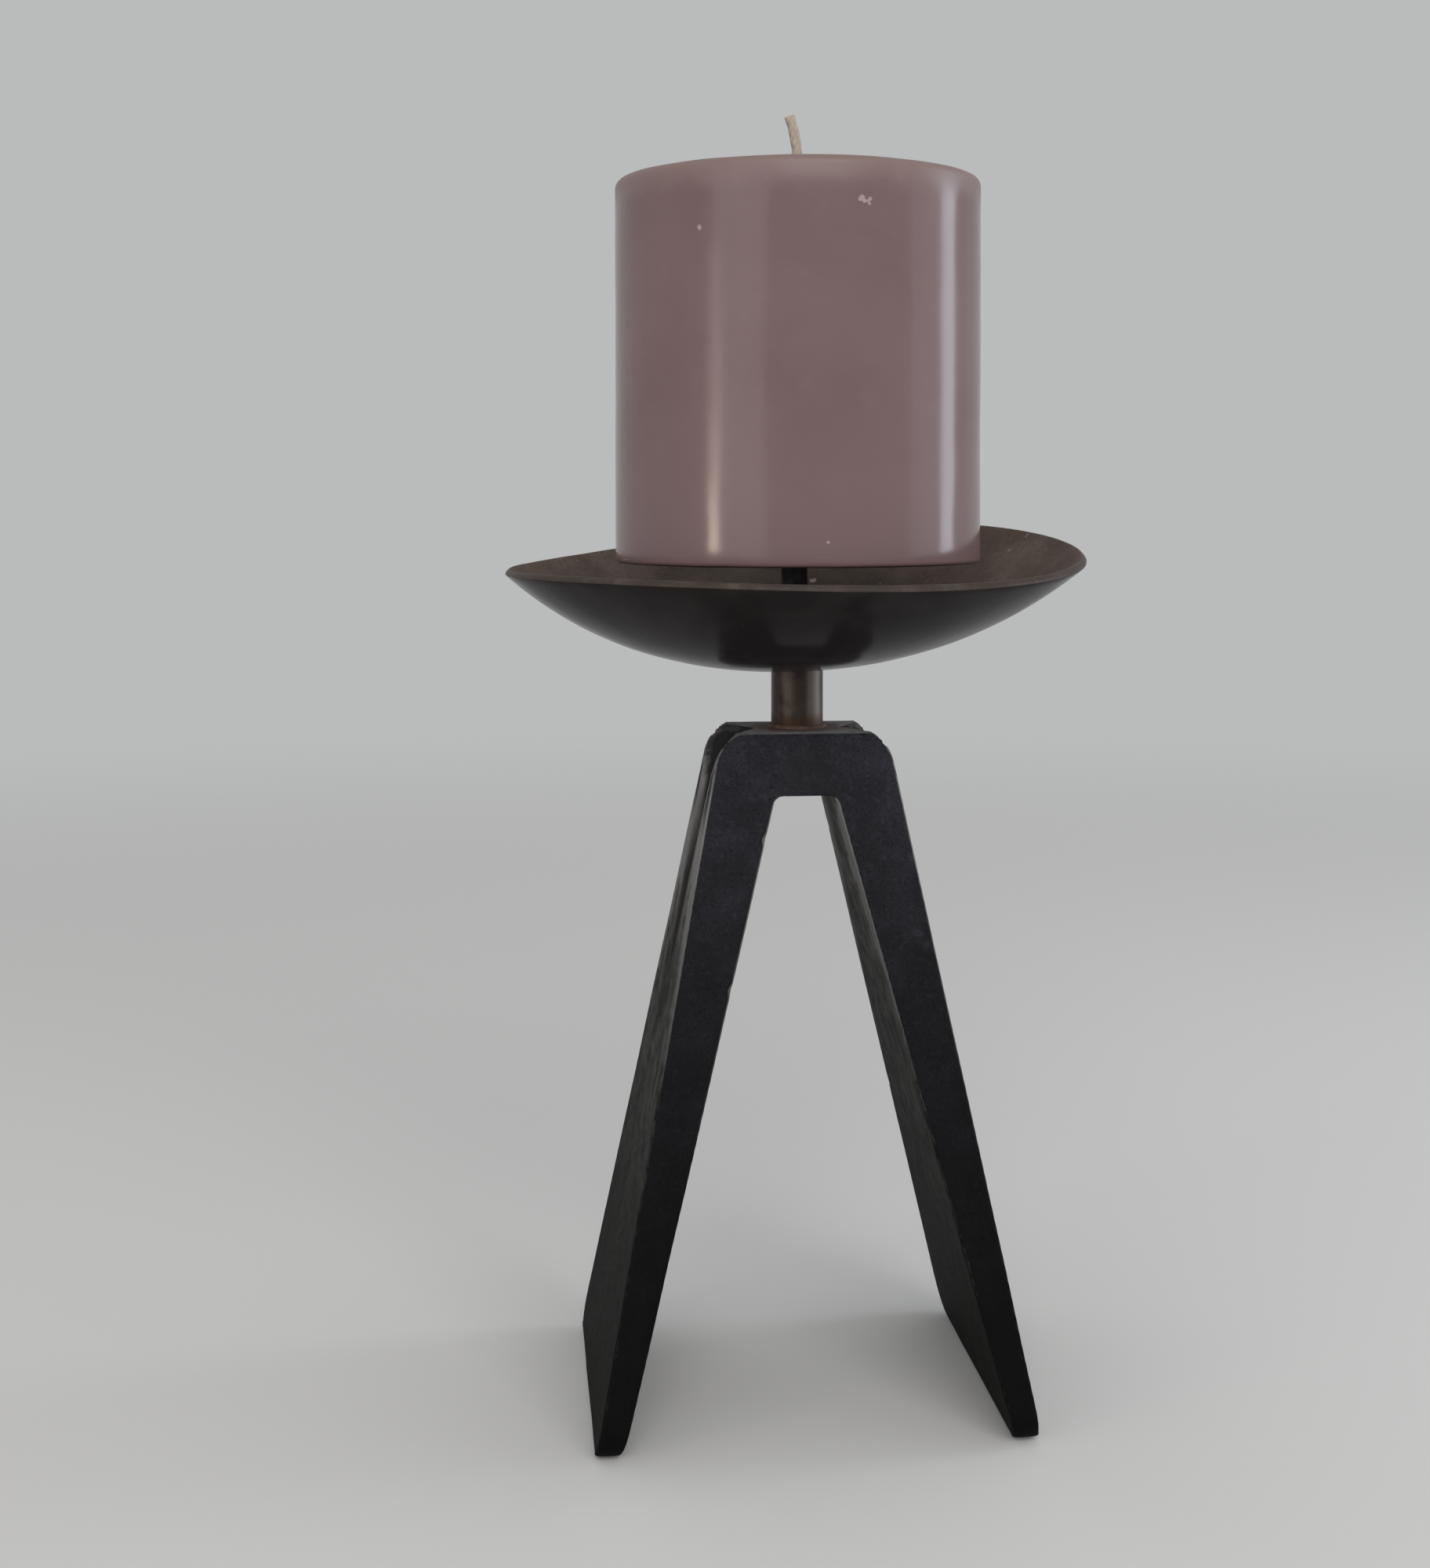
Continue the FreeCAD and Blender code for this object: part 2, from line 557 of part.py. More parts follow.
def spike_nut():
    """Hexagon nut on the spike's thread, clamping the dish to the stem, with turned corners on top."""
    body = new_body("spike_nut", HEAD_PLACEMENT)
    half_flats = size("nut_across_flats") / 2
    corner = half_flats / math.cos(math.pi / 6)
    low = size("dish_sheet")
    high = low + size("nut_height")

    sketch = new_sketch(body, "Hexagon", "XY_Plane", "Sizes.dish_sheet")
    points = [(corner * math.cos(k * math.pi / 3), corner * math.sin(k * math.pi / 3)) for k in range(6)]
    sides = [line(sketch, a, b) for a, b in zip(points, points[1:] + points[:1])]
    join(sketch, *[(a, 2, b, 1) for a, b in zip(sides, sides[1:] + sides[:1])])
    circle = Part.Circle(FreeCAD.Vector(0, 0, 0), FreeCAD.Vector(0, 0, 1), corner)
    around = sketch.addGeometry(circle, True)
    for side in sides:
        sketch.addConstraint(Sketcher.Constraint("PointOnObject", side, 1, around))
    for side in sides[1:]:
        sketch.addConstraint(Sketcher.Constraint("Equal", sides[0], side))
    sketch.addConstraint(Sketcher.Constraint("Coincident", around, 3, -1, 1))
    sketch.addConstraint(Sketcher.Constraint("PointOnObject", sides[0], 1, -1))
    half_corners = "Sizes.nut_across_flats / 2 / cos(30deg)"
    drive(sketch, "Corners", Sketcher.Constraint("Radius", around, corner), half_corners)
    bore = Part.Circle(FreeCAD.Vector(0, 0, 0), FreeCAD.Vector(0, 0, 1), size("spike_diameter") / 2)
    hole = sketch.addGeometry(bore, False)
    sketch.addConstraint(Sketcher.Constraint("Coincident", hole, 3, -1, 1))
    drive(sketch, "Bore", Sketcher.Constraint("Radius", hole, size("spike_diameter") / 2), BORE_RADIUS)
    blank = pad(body, sketch, "Sizes.nut_height")

    # The corners are turned down outside the circle that touches the flats
    far = corner + size("nut_height")
    far_low = high - (far - half_flats) * math.tan(math.radians(size("nut_corner_angle")))
    top = "(Sizes.dish_sheet + Sizes.nut_height)"
    far_x = f"({half_corners} + Sizes.nut_height)"
    far_low_y = f"({top} - ({far_x} - Sizes.nut_across_flats / 2) * tan(Sizes.nut_corner_angle * 1deg))"
    turning = new_sketch(body, "TurnedCorners", "XZ_Plane")
    polygon(turning, "Turning", [
        ("Sizes.nut_across_flats / 2", top, (half_flats, high)),
        (far_x, far_low_y, (far, far_low)),
        (far_x, top, (far, high)),
    ])
    turned = revolve(body, turning, "PartDesign::Groove")
    doc.recompute()
    if turned.Shape.Volume > blank.Shape.Volume - 1e-3:
        raise RuntimeError("the nut's corners are not turned")
    return body


def candle_wax():
    """Pillar candle with rounded edges, a hole for its wick and the hole that the spike made."""
    body = new_body("CandleBlank")
    base = size("frame_height") + size("stem_length") + size("candle_lift")
    top = base + size("candle_height")
    radius = size("candle_diameter") / 2
    wick_radius = size("wick_diameter") / 2
    wick_low = top - size("wick_buried")
    top_z = f"({CANDLE_BASE} + Sizes.candle_height)"
    wick_low_z = f"({top_z} - Sizes.wick_buried)"
    sketch = new_sketch(body, "CandleSection", "XZ_Plane")
    polygon(sketch, "Wax", [
        ("0", CANDLE_BASE, (0.0, base)),
        ("Sizes.candle_diameter / 2", CANDLE_BASE, (radius, base)),
        ("Sizes.candle_diameter / 2", top_z, (radius, top)),
        ("Sizes.wick_diameter / 2", top_z, (wick_radius, top)),
        ("Sizes.wick_diameter / 2", wick_low_z, (wick_radius, wick_low)),
        ("0", wick_low_z, (0.0, wick_low)),
    ])
    block = revolve(body, sketch)

    def on_rim(z):
        return lambda p: same(math.hypot(p.x, p.y), radius) and same(p.z, z)

    rounded = fillet(body, block, "TopRound", "Sizes.candle_top_round", on_rim(top))
    fillet(body, rounded, "BaseRound", "Sizes.candle_base_round", on_rim(base))

    hole = new_body("SpikeHole", HEAD_PLACEMENT)
    gaps = [(f"Sizes.{alias}", size(alias)) for alias in ("spike_hole_gap", "spike_tip_gap")]
    revolve(hole, spike_section(hole, "SpikeHoleSection", *gaps, ("0", 0.0)))
    return cut("candle_wax", body, hole)


def wick():
    """Wick: straight out of the wax, then bent over to the left."""
    body = new_body("wick")
    top = size("frame_height") + size("stem_length") + size("candle_lift") + size("candle_height")
    low = top - size("wick_buried")
    bend_from = top + size("wick_straight")
    bend = size("wick_bend_radius")
    angle = math.radians(size("wick_bend_angle"))
    tip = (-bend * (1 - math.cos(angle)), bend_from + bend * math.sin(angle))
    top_z = f"({CANDLE_BASE} + Sizes.candle_height)"

    path = new_sketch(body, "WickPath", "XZ_Plane")
    straight = line(path, (0.0, low), (0.0, bend_from))
    curve = arc(path, (-bend, bend_from), (0.0, bend_from), tip)
    path.addConstraint(Sketcher.Constraint("Tangent", straight, 2, curve, 1))
    path.addConstraint(Sketcher.Constraint("Vertical", straight))
    locate(path, "Low", straight, 1, "0", f"{top_z} - Sizes.wick_buried")
    locate(path, "BendFrom", straight, 2, None, f"{top_z} + Sizes.wick_straight")
    drive(path, "Bend", Sketcher.Constraint("Radius", curve, bend), "Sizes.wick_bend_radius")
    turn = Sketcher.Constraint("Angle", curve, angle)
    drive(path, "Turn", turn, "Sizes.wick_bend_angle * 1deg")

    section = new_sketch(body, "WickSection", "XY_Plane", f"{top_z} - Sizes.wick_buried")
    radius = size("wick_diameter") / 2
    circle = Part.Circle(FreeCAD.Vector(0, 0, 0), FreeCAD.Vector(0, 0, 1), radius)
    ring = section.addGeometry(circle, False)
    section.addConstraint(Sketcher.Constraint("Coincident", ring, 3, -1, 1))
    drive(section, "Round", Sketcher.Constraint("Radius", ring, radius), "Sizes.wick_diameter / 2")

    pipe = body.newObject("PartDesign::AdditivePipe", "WickPipe")
    pipe.Profile = section
    pipe.Spine = path
    return body


def main():
    leg = right_leg()
    pieces = [
        leg,
        left_leg(leg),
        bridge_weld(),
        stem(),
        stem_weld(),
        drip_dish(),
        spike(),
        spike_nut(),
        candle_wax(),
        wick(),
    ]
    doc.recompute()
    for item in doc.Objects:
        if "Invalid" in item.State or "Error" in item.State:
            raise RuntimeError(f"{item.Label} failed: {item.State}")
    for piece in pieces:
        if piece.Shape.isNull() or not piece.Shape.isValid() or not piece.Shape.Solids:
            raise RuntimeError(f"{piece.Label} has no valid solid")

    os.makedirs("parts", exist_ok=True)
    for piece in pieces:
        piece.Shape.exportStep(f"parts/{piece.Label}.step")
        box = piece.Shape.BoundBox
        print(
            f"{piece.Label}: volume {piece.Shape.Volume:.1f} mm3, "
            f"x {box.XMin:.2f} to {box.XMax:.2f}, y {box.YMin:.2f} to {box.YMax:.2f}, "
            f"z {box.ZMin:.2f} to {box.ZMax:.2f}"
        )


main()
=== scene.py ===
import json
import math

import bmesh
import bpy
import numpy as np
from mathutils import Matrix, Vector


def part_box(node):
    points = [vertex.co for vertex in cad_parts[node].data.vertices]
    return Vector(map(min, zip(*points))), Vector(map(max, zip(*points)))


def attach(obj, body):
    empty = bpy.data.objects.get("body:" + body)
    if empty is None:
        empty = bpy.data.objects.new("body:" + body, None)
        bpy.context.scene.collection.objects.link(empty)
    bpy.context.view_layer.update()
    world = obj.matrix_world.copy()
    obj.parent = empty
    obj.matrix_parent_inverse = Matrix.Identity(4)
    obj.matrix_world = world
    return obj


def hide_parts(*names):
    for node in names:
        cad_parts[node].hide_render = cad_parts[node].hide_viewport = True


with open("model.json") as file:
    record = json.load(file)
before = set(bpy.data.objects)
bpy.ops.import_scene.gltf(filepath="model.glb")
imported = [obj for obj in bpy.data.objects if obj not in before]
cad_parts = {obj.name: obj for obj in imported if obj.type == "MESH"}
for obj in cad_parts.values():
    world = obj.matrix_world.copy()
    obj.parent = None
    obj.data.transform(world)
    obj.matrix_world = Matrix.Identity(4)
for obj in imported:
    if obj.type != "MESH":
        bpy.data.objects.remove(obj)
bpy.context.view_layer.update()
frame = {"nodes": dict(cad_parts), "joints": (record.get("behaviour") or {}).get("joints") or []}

# Sizes in metres
MM = 0.001
SEAT_HEIGHT = 140 * MM
HEAD_AXIS = Vector(frame["joints"][0]["axis"]).normalized()
SEAM_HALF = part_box("bridge_weld")[1].x
BRIDGE_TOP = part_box("left_leg")[1].z
TOP_DEPTH_HALF = 10.5 * MM
FOOT_DEPTH_HALF = 34 * MM
EDGE_REACH = 1.4 * MM
EDGE_ROUND = 0.8 * MM
EDGE_ANGLE = math.radians(25)
FLOOR_FLAT = 0.12 * MM
SAME_PLACE = 0.01 * MM
SAME_POINT = 0.001 * MM

RIM_RADIUS = 55.5 * MM
DISH_DEPTH = 20.3 * MM
DISH_SHEET = 1.5 * MM
DISH_SEAT = 6 * MM
DISH_HOLE = 2.55 * MM
DISH_CURVE_CENTRE = (RIM_RADIUS ** 2 + DISH_DEPTH ** 2 - DISH_SEAT ** 2) / (2 * DISH_DEPTH)
DISH_CURVE = math.hypot(DISH_SEAT, DISH_CURVE_CENTRE)
RIM_ROUND = 0.45 * MM
RIM_WARP = 1.6 * MM
RIM_WARP_BEARING = math.radians(50)
BELLY = 1.0 * MM
BELLY_PEAK = 27 / 4  # makes the greatest value of reach ** 2 * (1 - reach) come to 1

CANDLE_LOW, CANDLE_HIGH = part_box("candle_wax")
CANDLE_RADIUS = 35 * MM
CANDLE_BASE_ROUND = 0.9 * MM
CANDLE_TOP_ROUND = 1.6 * MM
SPIKE_HOLE_RADIUS = 2.58 * MM
SPIKE_HOLE_TIP = 0.48 * MM
SPIKE_HOLE_END = 44.3 * MM
SPIKE_POINT = 11 * MM
CANDLE_BANDS = 22
# Steps of the dip round the wick: inwards, downwards
WICK_DIP = [(5 * MM, 0.1 * MM), (9 * MM, 0.45 * MM), (9 * MM, 0.6 * MM), (6 * MM, 0.5 * MM)]

WICK_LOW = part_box("wick")[0].z
WICK_BEND_FROM = CANDLE_HIGH.z + 3 * MM
WICK_BEND = 30 * MM
WICK_BEND_ANGLE = math.radians(19)
WICK_RADIUS = 1.0 * MM
WICK_END_GAP = 0.15 * MM
BRAID_PITCH = 4.2 * MM
BRAID_RELIEF = 0.05 * MM

STEM_RADIUS = 5 * MM
# Side of the stem with the painted highlight
STEM_HIGHLIGHT_SIDE = Vector((0.563, -0.827, 0))
# Side of the stem with the painted reflection that darkens it
STEM_DARK_REFLECTION_SIDE = Vector((-0.02, -1.0, 0))
WELD_RADIUS = 0.62 * MM
WELD_LIFT = 0.12 * MM
WELD_ROOT = 0.4 * MM
WELD_SUNK = 0.3 * MM
WELD_RIPPLES = 26

# Marks seen on the surfaces
WAX_MARKS = [
    (Vector((6.6, -34.4, 225.1)) * MM, 0.62 * MM),
    (Vector((7.1, -34.3, 224.7)) * MM, 0.46 * MM),
    (Vector((7.7, -34.1, 224.7)) * MM, 0.3 * MM),
    (Vector((8.1, -34.1, 225.0)) * MM, 0.34 * MM),
    (Vector((8.0, -34.1, 224.3)) * MM, 0.32 * MM),
    (Vector((-21.5, -27.6, 220.4)) * MM, 0.4 * MM),
    (Vector((0.6, -35.0, 164.5)) * MM, 0.28 * MM),
]
SCALE_FLAKES = [
    (Vector((-13.8, -16.6, 94.6)) * MM, 0.3 * MM),
    (Vector((19.7, -14.8, 104.6)) * MM, 0.7 * MM),
    (Vector((20.6, -17.3, 91.0)) * MM, 0.8 * MM),
    (Vector((22.0, -17.7, 88.9)) * MM, 0.7 * MM),
]
SEAM_MIDDLE = Vector((0, -11.9, 120.4)) * MM
DISH_FLECK = Vector((8.8, 38.6, 154.8)) * MM

# Heights between which a finish changes
# Heights of the painted highlight along the legs' side edges, drawn as rubbed metal
RUBBED_HIGHLIGHT_FROM = 62 * MM
RUBBED_HIGHLIGHT_TO = 121 * MM
# Heights of the painted shade on the outer faces at the shoulders
SHOULDER_SHADE_HEIGHTS = (107 * MM, 116 * MM)
# Heights over which the painted shade on the low sides fades out
LOW_SIDE_SHADE_HEIGHTS = (20 * MM, 60 * MM)
# Heights over which the painted shade towards the feet fades out
FOOT_SHADE_HEIGHTS = (-12 * MM, 134 * MM)
WORN_SPIKE_HEIGHTS = (SEAT_HEIGHT + 36 * MM, SEAT_HEIGHT + 48 * MM)

# Notches in the legs' inner edges: left or right, front or back, height
NOTCHES = [(-1, -1, 108.5 * MM), (-1, -1, 81.5 * MM), (1, 1, 107 * MM), (1, 1, 52 * MM)]
NOTCH_DEPTH = 0.5 * MM
NOTCH_REACH = 1.5 * MM
GAP_TOP = 116.2 * MM
GAP_HALF = 5.7 * MM
FOOT_INNER = 35.9 * MM

# Camera, from the sizes above and their places in the picture
IMAGE_WIDTH = 1824
IMAGE_HEIGHT = 2000
FOCAL_PIXELS = 2667.1
OPTICAL_CENTRE_Y = 700
EYE = Vector((-56.25, -399.93, 172.34)) * MM
HEADING = math.radians(5.755)
PITCH = math.radians(1.411)
SENSOR_WIDTH = 36.0

# Floor and lamps
FLOOR_RADIUS = 2.0
FLOOR_FADE = (0.3, 1.2)
LAMP_AIM = Vector((0, 0, 150)) * MM


# Modelling steps
def deselect():
    bpy.ops.object.select_all(action="DESELECT")


def activate(piece):
    deselect()
    piece.select_set(True)
    bpy.context.view_layer.objects.active = piece


def edit(piece):
    activate(piece)
    bpy.ops.object.mode_set(mode="EDIT")
    bpy.ops.mesh.select_all(action="SELECT")


def leave_edit():
    bpy.ops.object.mode_set(mode="OBJECT")


def fix_place():
    """Puts the selected piece's place, turn and size into its mesh."""
    bpy.ops.object.transform_apply(location=True, rotation=True, scale=True)


def start_from(add_shape, **settings):
    """A new piece from a basic shape, with its place in its mesh."""
    deselect()
    add_shape(**settings)
    fix_place()
    return bpy.context.object


def face_outwards():
    bpy.ops.mesh.select_all(action="SELECT")
    bpy.ops.mesh.normals_make_consistent(inside=False)


def pick_faces(piece, test):
    """Selects the faces whose middle and normal the test accepts."""
    bpy.ops.mesh.select_mode(type="FACE")
    bpy.ops.mesh.select_all(action="DESELECT")
    mesh = bmesh.from_edit_mesh(piece.data)
    for face in mesh.faces:
        face.select_set(bool(test(face.calc_center_median(), face.normal)))
    bmesh.update_edit_mesh(piece.data)


def pick_edges(piece, test):
    """Selects the edges whose two ends the test accepts."""
    bpy.ops.mesh.select_mode(type="EDGE")
    bpy.ops.mesh.select_all(action="DESELECT")
    mesh = bmesh.from_edit_mesh(piece.data)
    for edge in mesh.edges:
        edge.select_set(bool(test(edge.verts[0].co, edge.verts[1].co)))
    bmesh.update_edit_mesh(piece.data)


def apply_modifier(piece, kind, name, **settings):
    activate(piece)
    modifier = piece.modifiers.new(name, kind)
    for key, value in settings.items():
        setattr(modifier, key, value)
    bpy.ops.object.modifier_apply(modifier=modifier.name)


def roughen(piece, name, grain, depth, group="", contrast=1.0, middle=0.5):
    """Pushes the surface in and out by a soft noise of the given grain and depth."""
    noise = bpy.data.textures.new(name, "CLOUDS")
    noise.noise_scale = grain
    noise.noise_depth = 2
    noise.contrast = contrast
    apply_modifier(
        piece, "DISPLACE", name,
        texture=noise, texture_coords="LOCAL", strength=depth, mid_level=middle, vertex_group=group,
    )


def move_points(piece, change):
    """Moves each point of a mesh to where change puts it."""
    for point in piece.data.vertices:
        point.co = change(point.co.copy())
    piece.data.update()


def lean_on_seat(piece):
    """Turns a piece made upright at the origin onto the leaning axis and sets it on the seat."""
    turn = Vector((0, 0, 1)).rotation_difference(HEAD_AXIS).to_matrix().to_4x4()
    activate(piece)
    piece.matrix_world = Matrix.Translation((0, 0, SEAT_HEIGHT)) @ turn
    fix_place()


def copy_mesh(source, name):
    piece = bpy.data.objects.new(name, source.data.copy())
    bpy.context.scene.collection.objects.link(piece)
    return piece


def settle(piece, name, body, materials, nodes, angle=60):
    """Gives a finished piece its name, finish and place in the frame."""
    piece.name = name
    piece.data.name = name
    activate(piece)
    bpy.ops.object.shade_smooth_by_angle(angle=math.radians(angle))
    piece.data.materials.clear()
    for material in materials:
        piece.data.materials.append(material)
    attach(piece, body)
    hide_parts(*nodes)


# Finishes
class Value:
    """A shader socket that plain arithmetic can be written with."""

    def __init__(self, finish, socket):
        self.finish = finish
        self.socket = socket

    def math(self, operation, first, second):
        return self.finish.node("Math", {"operation": operation}, {0: first, 1: second})

    def __add__(self, other):
        return self.math("ADD", self, other)

    def __sub__(self, other):
        return self.math("SUBTRACT", self, other)

    def __rsub__(self, other):
        return self.math("SUBTRACT", other, self)

    def __mul__(self, other):
        return self.math("MULTIPLY", self, other)

    def __truediv__(self, other):
        return self.math("DIVIDE", self, other)

    def __pow__(self, other):
        return self.math("POWER", self, other)

    def __abs__(self):
        return self.math("ABSOLUTE", self, 0.0)

    __radd__ = __add__
    __rmul__ = __mul__


class Finish:
    """One material, built up node by node."""

    def __init__(self, name):
        self.material = bpy.data.materials.new(name)
        self.material.use_nodes = True
        self.tree = self.material.node_tree
        self.shader = self.tree.nodes["Principled BSDF"]

    def node(self, kind, settings=None, inputs=None, output=0):
        made = self.tree.nodes.new("ShaderNode" + kind)
        for name, setting in (settings or {}).items():
            setattr(made, name, setting)
        for name, value in (inputs or {}).items():
            self.feed(made.inputs[name], value)
        return Value(self, made.outputs[output])

    def feed(self, socket, value):
        if isinstance(value, Value):
            self.tree.links.new(value.socket, socket)
        elif hasattr(value, "__len__") and len(value) == 3 and socket.type == "RGBA":
            socket.default_value = (*value, 1.0)
        else:
            socket.default_value = value

    def place(self):
        """The piece's own coordinates, whole and as three numbers."""
        whole = self.node("TexCoord", output="Object")
        return whole, self.parts(whole)

    def parts(self, vector):
        split = self.tree.nodes.new("ShaderNodeSeparateXYZ")
        self.feed(split.inputs[0], vector)
        return [Value(self, output) for output in split.outputs]

    def vector(self, x, y, z):
        return self.node("CombineXYZ", None, {0: x, 1: y, 2: z})

    def noise(self, where, scale, detail=2.0, roughness=0.5, distortion=0.0):
        texture = {"Scale": scale, "Detail": detail, "Roughness": roughness, "Distortion": distortion}
        return self.node("TexNoise", None, {"Vector": where, **texture})

    def distance(self, where, spot):
        return self.node("VectorMath", {"operation": "DISTANCE"}, {0: where, 1: spot}, output="Value")

    def fade(self, value, low, high, soft=True):
        """0 where value is at low, 1 at high, with a soft or an even change between."""
        settings = {"interpolation_type": "SMOOTHSTEP" if soft else "LINEAR"}
        return self.node("MapRange", settings, {"Value": value, "From Min": low, "From Max": high})

    def mix(self, share, first, second):
        return self.node("Mix", {"data_type": "RGBA"}, {0: share, 6: first, 7: second}, output=2)

    def bump(self, height, depth, strength=1.0):
        return self.node("Bump", None, {"Height": height, "Distance": depth, "Strength": strength})

    def shade(self, **sockets):
        for name, value in sockets.items():
            self.feed(self.shader.inputs[name.replace("_", " ")], value)
        return self.material


def forged_scale(name, dressed):
    """Blue-black mill scale on the fronts, mottled bare metal on the sides, bright worn edges, with a
    painted highlight along the side edges, top faces painted lighter, and painted shade at the shoulders,
    in the creases, on the low sides and towards the feet.
    """
    finish = Finish(name)
    where, (x, y, z) = finish.place()
    facing = finish.parts(finish.node("TexCoord", output="Normal"))
    side = finish.fade(abs(facing[0]), 0.5, 0.8)
    outer = finish.fade(x * facing[0], 0.0, 3 * MM)
    above = finish.fade(facing[2], 0.6, 0.9)
    from_edge = finish.node("Attribute", {"attribute_name": "from_edge"}, output="Fac")
    from_crease = finish.node("Attribute", {"attribute_name": "from_crease"}, output="Fac")
    clouds = finish.noise(where, 130, 5, 0.62)
    leather = finish.noise(where, 900, 4, 0.6)
    grain = finish.noise(where, 2400, 2)
    mottle = finish.noise(finish.vector(x * 200, y * 170, z * 215), 1.0, 5, 0.66, 0.5)
    hair_lines = finish.noise(finish.vector(x * 260, y * 430, z * 95), 1.0, 4, 0.62, 0.4)

    front = finish.mix(finish.fade(clouds, 0.35, 0.68), (0.0252, 0.0256, 0.0314), (0.0338, 0.0345, 0.043))
    front = finish.mix(finish.fade(leather, 0.5, 0.7) * 0.55, front, (0.05, 0.052, 0.0655))
    front = finish.mix(finish.fade(grain, 0.47, 0.33) * 0.6, front, (0.01, 0.01, 0.012))
    drawn = finish.mix(finish.fade(mottle, 0.36, 0.64), (0.031, 0.029, 0.0278), (0.155, 0.151, 0.146))
    drawn = finish.mix(finish.fade(hair_lines, 0.5, 0.66) * 0.5, drawn, (0.26, 0.255, 0.248))
    # Painted highlight along the long edges of the side faces, standing for the light on their rounded
    # strip, drawn as rubbed metal
    reach = z.math("MINIMUM", (z - RUBBED_HIGHLIGHT_FROM) * 0.2, (RUBBED_HIGHLIGHT_TO - z) * 0.7)
    rubbed = finish.fade((reach - from_edge) + (mottle - 0.5) * 8 * MM, -1.5 * MM, 3.5 * MM)
    drawn = finish.mix(rubbed * 0.8, drawn, (0.33, 0.325, 0.317))
    # Painted shade on the outer faces at the shoulders, where the cleft is in shadow
    shoulder_shade = outer * finish.fade(z + (mottle - 0.5) * 5 * MM, *SHOULDER_SHADE_HEIGHTS)
    shoulder_shade = shoulder_shade * finish.fade(from_edge, 0.8 * MM, 2.2 * MM)
    drawn = finish.mix(shoulder_shade * 0.9, drawn, (0.019, 0.0165, 0.0185))
    # Painted shade: the side faces darker low down
    low_side_shade = 1 - finish.fade(z + (mottle - 0.5) * 26 * MM, *LOW_SIDE_SHADE_HEIGHTS)
    drawn = finish.mix(low_side_shade * 0.85, drawn, (0.013, 0.0118, 0.0096))
    colour = finish.mix(side, front, drawn)

    from_stem = (x * x + y * y) ** 0.5
    stained = finish.fade(from_stem + (mottle - 0.5) * 5 * MM, 11.5 * MM, 6 * MM)
    # Top faces painted lighter to stand for the light falling on them, with a real brown stain round the
    # stem
    lit_top = finish.mix(finish.fade(mottle, 0.35, 0.65), (0.21, 0.199, 0.196), (0.3, 0.289, 0.286))
    lit_top = finish.mix(stained * 0.85, lit_top, (0.155, 0.106, 0.087))
    colour = finish.mix(above * 0.9, colour, lit_top)
    # Painted shade in the creases, with some dirt there
    crease_shade_and_dirt = finish.fade(from_crease + (mottle - 0.5) * 2 * MM, 9 * MM, 3.5 * MM)
    colour = finish.mix(crease_shade_and_dirt * (1 - above) * 0.88, colour, (0.0135, 0.012, 0.0125))
    scuffed = finish.fade(finish.noise(where, 75, 2), 0.56, 0.7) * finish.fade(grain, 0.6, 0.74)
    colour = finish.mix(scuffed * 0.25, colour, (0.075, 0.079, 0.098))
    ragged = (leather - 0.5) * 3.6 * MM + (grain - 0.5) * 1.2 * MM
    for spot, size in SCALE_FLAKES:
        gap = finish.distance(where, spot)
        flake = finish.fade(gap + ragged, size + 0.2 * MM, size - 0.2 * MM)
        colour = finish.mix(flake * 0.22, colour, (0.105, 0.111, 0.14))
    if dressed:
        ground = finish.fade(finish.noise(finish.vector(x * 400, y * 400, z * 2600), 1.0, 2), 0.4, 0.7)
        colour = finish.mix(ground * 0.14, colour, (0.05, 0.054, 0.068))
        colour = finish.mix(0.05, colour, (0.055, 0.068, 0.105))
    to_seam = finish.distance(where, SEAM_MIDDLE)
    toned = finish.fade(to_seam + (clouds - 0.5) * 5 * MM, 6.5 * MM, 2 * MM)
    colour = finish.mix(toned * 0.35, colour, (0.024, 0.0235, 0.021))

    wear = (clouds - 0.5) * 0.7 + (grain - 0.5) * 0.25
    bare = finish.fade((1 - from_edge / EDGE_REACH) + wear, 0.78, 1.0)
    colour = finish.mix(bare * 0.8, colour, (0.21, 0.207, 0.204))
    # Painted shade: everything darker towards the feet, with less metal sheen there
    foot_shade = 1 - finish.fade(z + (clouds - 0.5) * 16 * MM, *FOOT_SHADE_HEIGHTS, soft=False) ** 2.4
    colour = finish.mix(foot_shade * 0.93, colour, (0.0028, 0.0026, 0.0023))
    height = clouds * 0.5 + leather * 0.28 + side * (mottle * 0.6 + hair_lines * 0.4)
    return finish.shade(
        Base_Color=colour,
        Metallic=bare * (1 - foot_shade) * 0.6,
        Roughness=0.62 + (leather - 0.5) * 0.25 - bare * 0.15,
        Specular_IOR_Level=0.03,
        Normal=finish.bump(height, 0.18 * MM, 0.7),
    )


